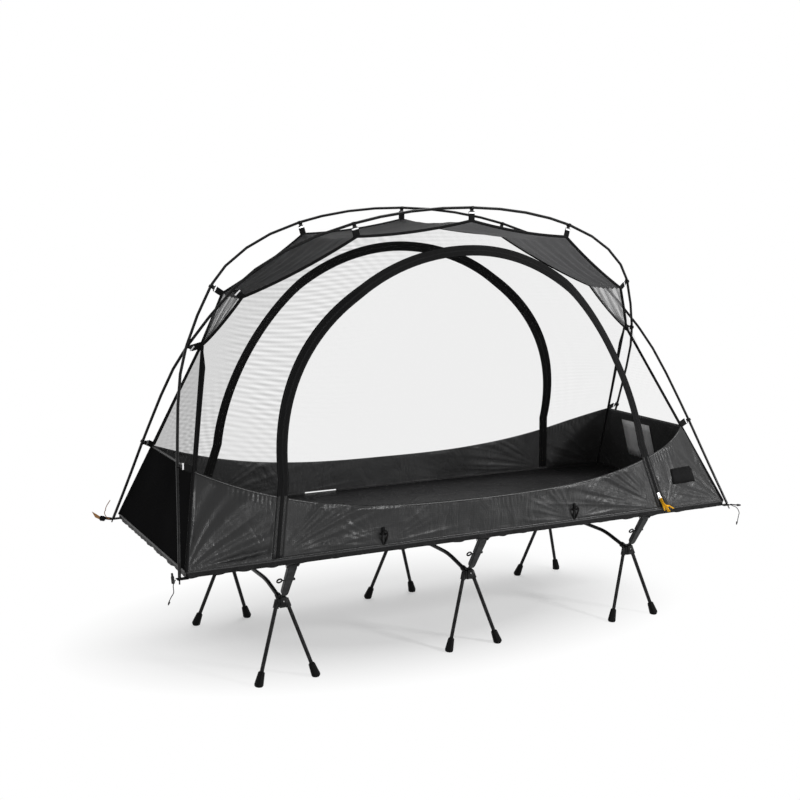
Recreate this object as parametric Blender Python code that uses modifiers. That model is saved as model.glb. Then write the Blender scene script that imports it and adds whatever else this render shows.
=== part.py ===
"""Tent cot: a high folding cot under a netted tent that hangs from two crossed arched poles.

Metres, +Z up. X runs along the bed and Y across it; the near side is at -Y.
The origin lies on the ground under the middle of the bed.
"""
import math

import bmesh
import bpy
from mathutils import Matrix, Vector

NAME = "tent_cot"

# Gaps and cloth
GAP = 0.0003                 # between pieces that touch
OVERRUN = 0.004              # how far a cutter passes the face that it opens
CLOTH = 0.0008               # floor, walls, roof and net
BAND_THICKNESS = 0.0012      # zip bands and hem
ROD_SIDES = 8
RAIL_SIDES = 12
CLIP_SIDES = 14
SLEEVE_STEPS = 9

# Driving sizes
BED_LENGTH = 1.860
RAIL_SPACING = 0.680         # between the axes of the two side rails
RAIL_HEIGHT = 0.378          # rail axis above the ground
POLE_RISE = 1.157            # height of a pole's arch in its own leaning plane

# Bed frame
UNIT_INSET = 0.298           # outer leg units from the ends of the bed
RAIL_PROUD = 0.010           # rail past each end of the bed
RAIL_RADIUS = 0.008
RAIL_WALL = 0.0013
BED_CLOTH = 0.0018
SLEEVE_WALL = 0.0012
BOW_RADIUS = 0.0065
BOW_DROP = 0.116             # axis of the flat middle stretch of a cross bow, under the rail's
BOW_FLAT = 0.088             # half the flat stretch
BOW_BEND = 0.062             # run over which the bow turns down
BOW_STEPS = 5
HUB_IN = 0.0932              # hub inside the rail
HUB_DROP = 0.147             # hub under the rail

# Legs
FOOT_SPREAD = 0.0912         # foot from the unit's middle, along the bed
FOOT_OUT = 0.0443            # foot outside its hub
LEG_ROOT = 0.0142            # leg axis from the unit's middle at hub height
LEG_RADIUS = 0.006
LEG_WALL = 0.001
FOOT_LENGTH = 0.045
FOOT_TOP_RADIUS = 0.010
FOOT_RADIUS = 0.0138
FOOT_ROUND = 0.009
FOOT_TIP = 0.003             # foot's round end past the point where its axis meets the ground
FOOT_SHOULDER = 0.004
LEG_SIDES = 8
SOCKET_DEPTH = 0.020
SOCKET_WALL = 0.0026
SOCKET_CAP = 0.005
HUB_WIDTH = 0.030
HUB_DEPTH = 0.028
HUB_TALL = 0.028
HUB_BEVEL = 0.004
HUB_CAP = 0.016
HUB_CAP_DROP = 0.019         # under the hub's middle
BOW_SOCKET = 0.034           # length of the bow's socket
BOW_SOCKET_FLOOR = 0.012     # socket floor from the hub's middle
SHIELD_WIDTH = 0.019
SHIELD_HEIGHT = 0.032
SHIELD_THICKNESS = 0.006

# Strut, lever and rail clip
STRUT_WIDTH = 0.010
STRUT_THICKNESS = 0.007
PIN_DROP = 0.020             # lever pin from the rail axis, along the strut
PIN_RADIUS = 0.002
LEVER_LENGTH = 0.122         # below its pin
LEVER_HEAD = 0.0055          # above its pin
LEVER_SHOULDER = 0.009       # from the pin down to the full section
LEVER_TOP_WIDTH = 0.028
LEVER_END_WIDTH = 0.021
LEVER_BACK = 0.009           # outer face of the lever from the strut's axis
LEVER_LIP = 0.0045           # edge of its flanges, on the inner side of the axis
LEVER_WALL = 0.0016
LEVER_ROUND = 0.010
CLIP_LENGTH = 0.045
CLIP_WALL = 0.0028
CLIP_EAR = 0.0045
CLIP_EAR_ROUND = 0.0058
CLIP_MOUTH = math.radians(70)   # half the angle left open over the rail
WINDOW_SLACK = 0.003
LATCH_DROP = 0.062           # latch pin from the lever pin
LATCH_RADIUS = 0.0018
LATCH_RING = 0.0085
LATCH_RING_WALL = 0.0022
LATCH_RING_THICKNESS = 0.003
LATCH_COLLAR = 0.0034
LATCH_REACH = 0.008          # latch pin past the lever's flange

# Poles
POLE_RADIUS = 0.0044
POLE_STANDOFF = 0.020        # pole ends past the tent's ends
POLE_SIDE_STANDOFF = 0.0035  # pole ends past the tent's sides
POLE_PIN_RADIUS = 0.0021
POLE_PIN = 0.019
POLE_SEGMENTS = 17           # on each half of the arch
POLE_STEPS = 12              # between two points of the pole's outline
CROSSING_SLIP = 0.026        # hook below the place where the poles cross

# Tent
TENT_END_OVERHANG = 0.020    # tent past the ends of the bed
TENT_SIDE_OVERHANG = 0.013   # tent past the rails' axes
FLOOR_EDGE = 0.010           # strip in which the floor curves up into the walls
FLOOR_CURL = 0.002
HEM_DROP = 0.0155
WALL_MIDDLE = 0.109          # dark wall above the bed, at the middle of the side
WALL_END = 0.245             # the same at the ends
WALL_CURVE = 2.85
TAPE_RADIUS = 0.004
KNOT_RADIUS = 0.0078         # where the seams meet at each point of the roof
STRAP_LENGTH = 0.039
STRAP_WIDTH = 0.011
STRAP_THICKNESS = 0.0022
HOOK_WALL = 0.0022
HOOK_WIDTH = 0.008
HOOK_STEPS = 6
HOOK_LUG = 0.0085
HOOK_MOUTH = math.radians(55)   # half the angle left open on a pole hook
SCALLOP = 0.009
RIDGE_START = 0.012          # seam tape above the floor
WALL_ROWS = 2
SIDE_STEPS = 16
END_STEPS = 4
ROOF_STEPS = (4, 4, 2)       # roof edge from its middle: T3 to T2, T2 to T1, T1 to the point
RIDGE_STEPS = 3
NET_ROWS = 2
ROOF_ROWS = 3
POLE_PASS = 0.0118           # between the poles' axes along the bed, where they cross

# Doors
SILL = 0.006                 # wall left under the door
DOOR_MARGIN = 0.310          # from the tent's end to the zip at the spring of its arch
DOOR_FLARE = 0.046           # how much wider the zip stands at the sill
ARCH_SPRING = 0.212          # spring of the arch above the bed
DOOR_DROP = 0.128            # top of the zip under the top of the poles
ZIP_BAND = 0.032

EDGE_GAP = 0.0006            # along the edge of a zip band
WALL_SEAM = 0.002            # between the wall's top edge and the net above it
ARCH_STEPS = 12              # on each half of a door's arch
ARCH_ROWS = 3

# Zip sliders, their pulls, and the toggles that hold a rolled door
SLIDER_RISE = 0.036          # slider above the sill
SLIDER_LIFT = 0.0002         # over the band, which winds a little under it
SLIDER_WIDTH = 0.010
SLIDER_LENGTH = 0.022
SLIDER_THICKNESS = 0.004
SLIDER_EAR = 0.0016
PULL_PIN_RADIUS = 0.0008
PULL_WIDTH = 0.005
PULL_LENGTH = 0.044
PULL_THICKNESS = 0.0018
TOGGLE_PLACES = (-0.352, 0.330)
TOGGLE_RISE = 0.030          # toggle bar above the sill
TOGGLE_LENGTH = 0.020
TOGGLE_RADIUS = 0.003
TOGGLE_LOOP = 0.020
TOGGLE_TAPE = 0.008

# Corner tabs
TAB_WIDTH = 0.020
TAB_THICKNESS = 0.002
TAB_HOLE = 0.0040
TAB_DROP = 0.014             # tab under the top of the bed

# Cords at three corners: start outside the tab, then steps out along the bed, out across it and up
CORD_RADIUS = 0.00125
CORD_STEPS = 3
CORD_START = 0.0006          # from the tab's rim
CORNER_CORDS = (
    ("near_left", -1, -1, ((0.006, 0.002, -0.008), (0.002, 0.001, -0.010), (-0.0005, 0.001, -0.016),
                           (0.008, 0, -0.013), (0.008, 0.002, -0.015))),
    ("near_right", 1, -1, ((0.0065, 0.004, -0.004), (0.017, 0.004, -0.008), (0.011, 0.002, -0.017),
                           (-0.002, 0, -0.014), (-0.005, 0, -0.025))),
    ("far_left", -1, 1, ((0.0075, 0.004, 0.004), (0.0073, 0.002, 0.0145), (-0.0033, 0, 0.0115),
                         (-0.003, -0.001, 0.0117), (-0.012, -0.003, 0.0198))),
)

# Shares
CROSSING_SHARE = 0.609       # the poles cross so far up their arches
# Pole outline: how high up the arch, and how far out
POLE_SHARES = ((0, 1), (0.14, 0.971), (0.28, 0.944), (0.49, 0.894), (0.61, 0.840),
               (0.705, 0.778), (0.79, 0.710), (0.862, 0.612), (0.925, 0.474), (0.972, 0.300),
               (0.994, 0.140), (1, 0))
# Ties along a pole, as shares of its half span: the roof's corners
ROOF_TIE_SHARES = (0.7385, 0.3937, 0)
LEVER_HEAD_SHARE = 0.5       # of the lever's depth, left at its head
LOW_TIE_SHARE = 0.275        # low hook, up the arch
# The lever's rounded end: how far along it, and how much is left of its width and of its flanges
LEVER_END_SHARES = ((0, 1, 1), (0.5, 0.94, 0.5), (0.85, 0.76, -0.3), (1, 0.45, -1))

# Derived sizes
UNIT_PITCH = BED_LENGTH / 2 - UNIT_INSET
RAIL_LENGTH = BED_LENGTH + 2 * RAIL_PROUD
RAIL_Y = RAIL_SPACING / 2
BOW_HEIGHT = RAIL_HEIGHT - BOW_DROP
HUB_Y = RAIL_Y - HUB_IN
HUB_HEIGHT = RAIL_HEIGHT - HUB_DROP
FOOT_Y = HUB_Y + FOOT_OUT
SLEEVE_BORE = RAIL_RADIUS + GAP
SLEEVE_RADIUS = SLEEVE_BORE + SLEEVE_WALL
BED_TOP = RAIL_HEIGHT + SLEEVE_RADIUS
FLOOR_MIDDLE = BED_TOP + GAP + CLOTH / 2
SILL_Z = FLOOR_MIDDLE + SILL
WALL_END_Z = FLOOR_MIDDLE + WALL_END
WALL_MIDDLE_Z = FLOOR_MIDDLE + WALL_MIDDLE
BASE_X = BED_LENGTH / 2 + TENT_END_OVERHANG
BASE_Y = RAIL_Y + TENT_SIDE_OVERHANG
TAB_Z = BED_TOP - TAB_DROP
POLE_SPAN = 2 * (BASE_X + POLE_STANDOFF)
POLE_SPREAD = 2 * (BASE_Y + POLE_SIDE_STANDOFF)
POLE_LEAN = math.asin(POLE_SPREAD / 2 / (CROSSING_SHARE * POLE_RISE))
POLE_TOP_Z = TAB_Z + POLE_RISE * math.cos(POLE_LEAN)
SPRING_Z = FLOOR_MIDDLE + ARCH_SPRING
ARCH_RISE = POLE_TOP_Z - DOOR_DROP - SPRING_Z
DOOR_HALF_WIDTH = BASE_X - DOOR_MARGIN
BAND_EDGE = ZIP_BAND / 2
STRUT_SPAN = math.hypot(RAIL_Y - HUB_Y, RAIL_HEIGHT - HUB_HEIGHT)
STRUT_LEAN = math.atan2(RAIL_Y - HUB_Y, RAIL_HEIGHT - HUB_HEIGHT)
PIN_UP = STRUT_SPAN - PIN_DROP
CLIP_INNER = RAIL_RADIUS + GAP
CLIP_RADIUS = CLIP_INNER + CLIP_WALL
EAR_MIDDLE = LEVER_TOP_WIDTH / 2 + GAP + CLIP_EAR / 2
SOCKET_BORE = LEG_RADIUS + GAP
SOCKET_RADIUS = SOCKET_BORE + SOCKET_WALL
SLIDER_EYE = SLIDER_THICKNESS + GAP + PULL_WIDTH / 2

# Finishes: colour, roughness and metallic
ANODISED = ((0.012, 0.012, 0.013), 0.42, 0.6)
MOULDED = ((0.014, 0.014, 0.015), 0.5, 0.0)
LEVER_FINISH = ((0.045, 0.047, 0.050), 0.45, 0.2)
RUBBER = ((0.012, 0.012, 0.012), 0.65, 0.0)
BED_FINISH = ((0.010, 0.010, 0.011), 0.8, 0.0)
WALL_CLOTH = ((0.020, 0.021, 0.022), 0.55, 0.0)
ROOF_CLOTH = ((0.045, 0.048, 0.050), 0.6, 0.0)
WEBBING = ((0.010, 0.010, 0.011), 0.75, 0.0)
NET = ((0.75, 0.75, 0.74), 0.8, 0.0)
METAL = ((0.7, 0.7, 0.7), 0.35, 1.0)
PULL_CORD = ((0.75, 0.45, 0.05), 0.6, 0.0)
CORD = ((0.015, 0.015, 0.016), 0.7, 0.0)

# Planes for flat outlines: which way an outline's own X, Y and thickness point
ACROSS = Matrix(((0, 0, 1), (1, 0, 0), (0, 1, 0))).to_4x4()
FACING = Matrix(((1, 0, 0), (0, 0, -1), (0, 1, 0))).to_4x4()

SIDES = (("near", -1), ("far", 1))
ENDS = (("left", -1), ("right", 1))
UNITS = (("left", -1), ("middle", 0), ("right", 1))


def clear_scene():
    for obj in list(bpy.data.objects):
        bpy.data.objects.remove(obj, do_unlink=True)


def add_collection(name):
    coll = bpy.data.collections.new(name)
    bpy.context.scene.collection.children.link(coll)
    return coll


def add_material(name, color, roughness, metallic=0.0):
    mat = bpy.data.materials.new(name)
    mat.use_nodes = True
    shader = mat.node_tree.nodes["Principled BSDF"]
    shader.inputs["Base Color"].default_value = (*color, 1)
    shader.inputs["Roughness"].default_value = roughness
    shader.inputs["Metallic"].default_value = metallic
    return mat


def add_piece(name, mesh, finish, matrix=None):
    """A sub-part: one object in the part's collection, with a material of its own."""
    obj = bpy.data.objects.new(name, mesh)
    bpy.data.collections[NAME].objects.link(obj)
    if not mesh.materials:
        mesh.materials.append(None)
    obj.material_slots[0].link = "OBJECT"
    obj.material_slots[0].material = add_material(name, *finish)
    if matrix is not None:
        obj.matrix_world = matrix
    return obj


def add_shape(data, matrix=None):
    """A helper solid or cutter, kept out of the part."""
    obj = bpy.data.objects.new("shape", data)
    bpy.data.collections["cutters"].objects.link(obj)
    obj.hide_render = True
    obj.display_type = "WIRE"
    if matrix is not None:
        obj.matrix_world = matrix
    return obj


def baked(obj):
    """The object's evaluated shape in world space as a mesh; the object is removed."""
    bpy.context.view_layer.update()
    evaluated = obj.evaluated_get(bpy.context.evaluated_depsgraph_get())
    mesh = bpy.data.meshes.new_from_object(evaluated)
    mesh.transform(obj.matrix_world)
    bpy.data.objects.remove(obj, do_unlink=True)
    shape = bmesh.new()
    shape.from_mesh(mesh)
    bmesh.ops.remove_doubles(shape, verts=shape.verts, dist=1e-6)
    bmesh.ops.dissolve_degenerate(shape, edges=shape.edges, dist=1e-6)
    bmesh.ops.recalc_face_normals(shape, faces=shape.faces)
    shape.to_mesh(mesh)
    shape.free()
    mesh.materials.clear()
    return mesh


def add_boolean(obj, other, operation):
    mod = obj.modifiers.new(operation.title(), "BOOLEAN")
    mod.operation = operation
    mod.solver = "EXACT"
    mod.object = other


def fused(meshes, cutters=()):
    """Closed meshes joined into one body, less the cutters."""
    base = add_shape(meshes[0])
    others = [add_shape(mesh) for mesh in meshes[1:]]
    tools = [add_shape(mesh) for mesh in cutters]
    for other in others:
        add_boolean(base, other, "UNION")
    for tool in tools:
        add_boolean(base, tool, "DIFFERENCE")
    mesh = baked(base)
    for obj in others + tools:
        bpy.data.objects.remove(obj, do_unlink=True)
    return mesh


def rounded(mesh):
    """Smooth shading with sharp edges kept."""
    mesh.shade_smooth()
    mesh.set_sharp_from_angle(angle=math.radians(35))
    return mesh


def box(size, matrix=None, bevel=0.0):
    shape = bmesh.new()
    bmesh.ops.create_cube(shape, size=1)
    bmesh.ops.scale(shape, vec=size, verts=shape.verts)
    if bevel:
        bmesh.ops.bevel(shape, geom=shape.edges, offset=bevel, segments=1, affect="EDGES")
    return finished(shape, matrix)


def bore(radius, length, matrix, sides=ROD_SIDES):
    """A cutter for a round hole along its own Z."""
    return rod(bored(radius, sides), length, matrix, sides)


def rod(radius, length, matrix=None, sides=ROD_SIDES):
    """A cylinder along its own Z, centred on its origin."""
    shape = bmesh.new()
    bmesh.ops.create_cone(shape, cap_ends=True, segments=sides, radius1=radius, radius2=radius, depth=length)
    return finished(shape, matrix)


def ball(radius, matrix):
    shape = bmesh.new()
    bmesh.ops.create_uvsphere(shape, u_segments=8, v_segments=6, radius=radius)
    return finished(shape, matrix)


def finished(shape, matrix):
    mesh = bpy.data.meshes.new("shape")
    if matrix is not None:
        shape.transform(matrix)
    shape.to_mesh(mesh)
    shape.free()
    return mesh


def plate(outlines, thickness, matrix=None):
    """Flat outlines, the first one outside and the others holes, filled and given a thickness."""
    curve = bpy.data.curves.new("outline", "CURVE")
    curve.dimensions = "2D"
    curve.fill_mode = "BOTH"
    curve.extrude = thickness / 2
    for outline in outlines:
        spline = curve.splines.new("POLY")
        spline.points.add(len(outline) - 1)
        for point, (x, y) in zip(spline.points, outline):
            point.co = (x, y, 0, 1)
        spline.use_cyclic_u = True
    return baked(add_shape(curve, matrix))


def tube(points, radius, resolution=2, radii=None):
    """A closed-ended tube along the points."""
    curve = bpy.data.curves.new("tube", "CURVE")
    curve.dimensions = "3D"
    curve.bevel_depth = radius
    curve.bevel_resolution = resolution
    curve.use_fill_caps = True
    spline = curve.splines.new("POLY")
    spline.points.add(len(points) - 1)
    for index, point in enumerate(points):
        spline.points[index].co = (*point, 1)
        spline.points[index].radius = radii[index] if radii else 1
    return baked(add_shape(curve))


def turned(profile, sides, matrix=None):
    """A profile of radius and height at +X, top to bottom down its outer side, turned about Z."""
    mesh = bpy.data.meshes.new("profile")
    edges = [(index, index + 1) for index in range(len(profile) - 1)]
    mesh.from_pydata([(radius, 0, height) for radius, height in profile], edges, [])
    obj = add_shape(mesh, matrix)
    mod = obj.modifiers.new("Turn", "SCREW")
    mod.steps = sides
    mod.render_steps = sides
    mod.use_merge_vertices = True
    mod.merge_threshold = 1e-5
    return baked(obj)


def cloth(rows, thickness):
    """A sheet lofted through rows of points, with its thickness shared to both sides."""
    width = len(rows[0])
    points = [point for row in rows for point in row]
    faces = []
    for row in range(len(rows) - 1):
        for step in range(width - 1):
            start = row * width + step
            faces.append((start, start + 1, start + width + 1, start + width))
    return thickened(points, faces, thickness)


def thickened(points, faces, thickness):
    mesh = bpy.data.meshes.new("sheet")
    mesh.from_pydata(points, [], faces)
    shape = bmesh.new()
    shape.from_mesh(mesh)
    bmesh.ops.remove_doubles(shape, verts=shape.verts, dist=1e-6)
    bmesh.ops.triangulate(shape, faces=shape.faces)
    shape.to_mesh(mesh)
    shape.free()
    obj = add_shape(mesh)
    mod = obj.modifiers.new("Thickness", "SOLIDIFY")
    mod.thickness = thickness
    mod.offset = 0
    mod.use_even_offset = True
    return baked(obj)


def arc(radius, start, end, steps, centre=(0, 0)):
    """Points on a circle from one angle to another, both ends included."""
    turns = [start + (end - start) * step / steps for step in range(steps + 1)]
    return [(centre[0] + radius * math.cos(turn), centre[1] + radius * math.sin(turn)) for turn in turns]


def ring(radius, steps, centre=(0, 0)):
    return arc(radius, 0, math.tau, steps, centre)[:-1]


def bored(radius, steps, turn=math.tau):
    """Radius of the corners of a faceted bore whose flats keep clear of the radius."""
    return radius / math.cos(turn / steps / 2)


def smooth(points, steps):
    """A smooth curve through the points (Catmull-Rom), with so many steps between neighbours."""
    ends = [points[0] * 2 - points[1]] + list(points) + [points[-1] * 2 - points[-2]]
    curve = []
    for a, b, c, d in zip(ends, ends[1:], ends[2:], ends[3:]):
        for step in range(steps):
            t = step / steps
            pull = (c - a) * t + (a * 2 - b * 5 + c * 4 - d) * t ** 2 + (b * 3 - a - c * 3 + d) * t ** 3
            curve.append(b + pull / 2)
    return curve + [points[-1]]


def along(start, direction, up=Vector((0, 0, 1))):
    """A frame at start whose Z runs along the direction and whose X points as far from up as it can."""
    z = Vector(direction).normalized()
    y = up.cross(z).normalized()
    x = y.cross(z)
    frame = Matrix((x, y, z)).transposed().to_4x4()
    frame.translation = start
    return frame


def side_turn(side):
    """Near pieces face -Y; far ones are the same, turned about the upright axis."""
    return 0 if side < 0 else math.pi


def unit_frame(place, side):
    """The frame of one leg unit's near or far half, on the ground under the unit's middle."""
    return Matrix.Translation((place * UNIT_PITCH, 0, 0)) @ Matrix.Rotation(side_turn(side), 4, "Z")


def pipe(outer, inner, length, matrix):
    return plate([ring(outer, RAIL_SIDES), ring(inner, ROD_SIDES)], length, matrix)


def add_rails():
    for name, side in SIDES:
        place = Matrix.Translation((0, side * RAIL_Y, RAIL_HEIGHT)) @ ACROSS
        mesh = pipe(RAIL_RADIUS, RAIL_RADIUS - RAIL_WALL, RAIL_LENGTH, place)
        add_piece("side_rail_" + name, rounded(mesh), ANODISED)


def add_bed_sheet():
    """The bed cloth, wrapped round each rail as a sleeve that is open at every rail clip."""
    under = math.asin((SLEEVE_RADIUS - BED_CLOTH) / SLEEVE_RADIUS)
    turn = arc(SLEEVE_RADIUS, math.pi / 2, -math.pi - under, SLEEVE_STEPS, (RAIL_Y, RAIL_HEIGHT))
    outline = turn + [(-y, z) for y, z in reversed(turn)]
    hollow = bored(SLEEVE_BORE, RAIL_SIDES)
    bores = [ring(hollow, RAIL_SIDES, (side * RAIL_Y, RAIL_HEIGHT)) for side in (1, -1)]
    sheet = plate([outline] + bores, BED_LENGTH, ACROSS)
    windows = []
    width = CLIP_LENGTH + 2 * WINDOW_SLACK
    reach = 2 * (SLEEVE_RADIUS + OVERRUN)
    for _, place in UNITS:
        for _, side in SIDES:
            middle = (place * UNIT_PITCH, side * RAIL_Y, RAIL_HEIGHT)
            windows.append(box((width, reach, reach), Matrix.Translation(middle)))
    add_piece("bed_sheet", fused([sheet], windows), BED_FINISH)


def add_bows():
    """A cross bow at each unit: flat in the middle, bent down to both hubs."""
    drop = BOW_HEIGHT - HUB_HEIGHT
    run = HUB_Y - BOW_FLAT - BOW_BEND
    slope = drop / (run + BOW_BEND / 2)
    half = [Vector((0, BOW_FLAT, BOW_HEIGHT))]
    for step in range(1, BOW_STEPS + 1):
        share = step / BOW_STEPS
        fall = slope * BOW_BEND * share ** 2 / 2
        half.append(Vector((0, BOW_FLAT + BOW_BEND * share, BOW_HEIGHT - fall)))
    reach = HUB_Y - BOW_SOCKET_FLOOR - GAP - half[-1].y
    half.append(half[-1] + Vector((0, reach, -slope * reach)))
    mirrored = [Vector((0, -point.y, point.z)) for point in reversed(half)]
    for name, place in UNITS:
        mesh = rounded(tube(mirrored + half, BOW_RADIUS))
        add_piece("cross_bow_" + name, mesh, ANODISED, Matrix.Translation((place * UNIT_PITCH, 0, 0)))
    return slope


def leg_line(end):
    """Foot point and upward run of a near leg, in its unit's frame."""
    foot = Vector((end * FOOT_SPREAD, -FOOT_Y, 0))
    return foot, Vector((end * LEG_ROOT, -HUB_Y, HUB_HEIGHT)) - foot


def leg_mesh():
    """A tube with its rubber foot, standing on its own Z axis and cut flat where it meets the ground."""
    _, run = leg_line(1)
    lean = run.angle(Vector((0, 0, 1)))
    bore = LEG_RADIUS - LEG_WALL
    profile = [(0, FOOT_LENGTH), (bore, FOOT_LENGTH), (bore, run.length), (LEG_RADIUS, run.length)]
    profile += [(LEG_RADIUS, FOOT_LENGTH), (FOOT_TOP_RADIUS, FOOT_LENGTH - FOOT_SHOULDER)]
    turn = arc(FOOT_ROUND, 0, -math.pi / 2, 3, (FOOT_RADIUS - FOOT_ROUND, FOOT_ROUND - FOOT_TIP))
    profile += turn + [(0, -FOOT_TIP)]
    mesh = turned(profile, LEG_SIDES)
    shape = bmesh.new()
    shape.from_mesh(mesh)
    ground = Vector((-math.sin(lean), 0, math.cos(lean)))
    geometry = shape.verts[:] + shape.edges[:] + shape.faces[:]
    bmesh.ops.bisect_plane(shape, geom=geometry, plane_co=(0, 0, 0), plane_no=ground, clear_inner=True)
    bmesh.ops.holes_fill(shape, edges=[edge for edge in shape.edges if edge.is_boundary])
    bmesh.ops.recalc_face_normals(shape, faces=shape.faces)
    shape.to_mesh(mesh)
    shape.free()
    return rounded(mesh)


def add_legs():
    mesh = leg_mesh()
    for unit, place in UNITS:
        for name, side in SIDES:
            for end_name, end in ENDS:
                foot, run = leg_line(end * -side)
                frame = unit_frame(place, side) @ along(foot, run)
                add_piece("leg_%s_%s_%s" % (name, unit, end_name), mesh, RUBBER, frame)


def strut_frame():
    """A near hub's frame with its Z along the strut and its -Y facing out."""
    return Matrix.Translation((0, -HUB_Y, HUB_HEIGHT)) @ Matrix.Rotation(STRUT_LEAN, 4, "X")


def lever_width(down):
    """Width of the lever at a distance below its pin."""
    share = min(max(down / LEVER_LENGTH, 0), 1)
    return LEVER_TOP_WIDTH + (LEVER_END_WIDTH - LEVER_TOP_WIDTH) * share


def cross_rod(radius, length, frame, down=0.0, shift=0.0, sides=ROD_SIDES):
    """A rod along the bed, at a distance below the lever pin, in a frame along the strut."""
    place = Matrix.Translation((shift, 0, -down)) @ Matrix.Rotation(math.pi / 2, 4, "Y")
    return rod(radius, length, frame @ place, sides)


def cross_bore(radius, length, frame, down=0.0, sides=ROD_SIDES):
    return cross_rod(bored(radius, sides), length, frame, down, 0, sides)


def latch_pieces(frame):
    """The latch pin through the strut, with an open ring on one end and two collars on the other."""
    flange = lever_width(LATCH_DROP) / 2
    reach = flange + LATCH_REACH
    ring_place = Matrix.Translation((-reach - LATCH_RING + LATCH_RING_WALL, 0, -LATCH_DROP))
    turn = frame @ ring_place @ Matrix.Rotation(math.pi / 2, 4, "X")
    outlines = [ring(LATCH_RING, ROD_SIDES), ring(LATCH_RING - LATCH_RING_WALL, ROD_SIDES)]
    pieces = [cross_rod(LATCH_RADIUS, 2 * reach, frame, LATCH_DROP)]
    pieces.append(plate(outlines, LATCH_RING_THICKNESS, turn))
    for place in (flange + LATCH_REACH / 3, reach):
        pieces.append(cross_rod(LATCH_COLLAR, LATCH_RADIUS, frame, LATCH_DROP, place))
    return pieces


def hub_mesh(slope):
    """Hub with two leg sockets, a bow socket, the strut to the rail clip and the latch pin."""
    middle = Vector((0, -HUB_Y, HUB_HEIGHT))
    frame = strut_frame()
    pin = frame @ Matrix.Translation((0, 0, PIN_UP))
    block = Matrix.Translation(middle)
    pieces = [box((HUB_WIDTH, HUB_DEPTH, HUB_TALL), block, HUB_BEVEL)]
    cutters = []
    for _, end in ENDS:
        foot, run = leg_line(end)
        top = along(foot, run) @ Matrix.Translation((0, 0, run.length))
        length = SOCKET_DEPTH + SOCKET_CAP
        place = Matrix.Translation((0, 0, SOCKET_CAP - length / 2))
        pieces.append(rod(SOCKET_RADIUS, length, top @ place))
        depth = SOCKET_DEPTH + OVERRUN + GAP
        cutters.append(bore(SOCKET_BORE, depth, top @ Matrix.Translation((0, 0, GAP - depth / 2))))
    inward = along(middle, (0, 1, slope))
    hollow = BOW_RADIUS + GAP
    socket = inward @ Matrix.Translation((0, 0, BOW_SOCKET / 2))
    pieces.append(rod(hollow + SOCKET_WALL, BOW_SOCKET, socket))
    depth = BOW_SOCKET - BOW_SOCKET_FLOOR + OVERRUN
    cutters.append(bore(hollow, depth, inward @ Matrix.Translation((0, 0, BOW_SOCKET_FLOOR + depth / 2))))
    pieces.append(box((STRUT_WIDTH, STRUT_THICKNESS, PIN_UP), frame @ Matrix.Translation((0, 0, PIN_UP / 2))))
    cutters.append(cross_bore(PIN_RADIUS + GAP, 2 * STRUT_WIDTH, pin))
    out = (HUB_DEPTH + SHIELD_THICKNESS) / 2 - HUB_BEVEL / 2
    shield = Matrix.Translation(middle - Vector((0, out, 0)))
    pieces.append(box((SHIELD_WIDTH, SHIELD_THICKNESS, SHIELD_HEIGHT), shield, SHIELD_THICKNESS / 3))
    under = Matrix.Translation(middle - Vector((0, 0, HUB_CAP_DROP - HUB_CAP / 2)))
    pieces.append(box((HUB_CAP, HUB_CAP, HUB_CAP), under))
    return rounded(fused(pieces + latch_pieces(pin), cutters))


def lever_mesh():
    """A channel that tapers to a rounded end, notched for the latch pin, with its hinge pin."""
    half = LEVER_WALL / 2
    rows = []
    stations = [(-LEVER_HEAD, LEVER_HEAD_SHARE), (0, (LEVER_HEAD_SHARE + 1) / 2), (LEVER_SHOULDER, 1)]
    straight = LEVER_LENGTH - LEVER_ROUND
    stations += [((LEVER_SHOULDER + straight) / 2, 1)]
    for down, depth in stations:
        rows.append(lever_section(down, lever_width(down) / 2 - half, depth, depth))
    for run, width, lip in LEVER_END_SHARES:
        down = straight + LEVER_ROUND * run
        rows.append(lever_section(down, (lever_width(down) / 2 - half) * width, 1, lip))
    channel = cloth(rows, LEVER_WALL)
    frame = Matrix.Identity(4)
    pin = cross_rod(PIN_RADIUS, 2 * EAR_MIDDLE + CLIP_EAR, frame)
    notch = LATCH_RADIUS + GAP
    width = LEVER_TOP_WIDTH + OVERRUN
    depth = LEVER_LIP + OVERRUN
    slot = box((width, depth, 2 * notch), Matrix.Translation((0, depth / 2, -LATCH_DROP)))
    return rounded(fused([channel, pin], [slot, cross_bore(notch, width, frame, LATCH_DROP)]))


def lever_section(down, width, depth, edge):
    """One U-shaped section of the lever; depth and edge are shares of its back and of its flanges."""
    back = (LEVER_BACK - LEVER_WALL / 2) * depth
    lip = LEVER_LIP * edge
    bend = LEVER_WALL
    outline = ((-width, lip), (-width, bend - back), (bend - width, -back))
    outline += tuple((-x, y) for x, y in reversed(outline))
    return [(x, y, -down) for x, y in outline]


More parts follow.
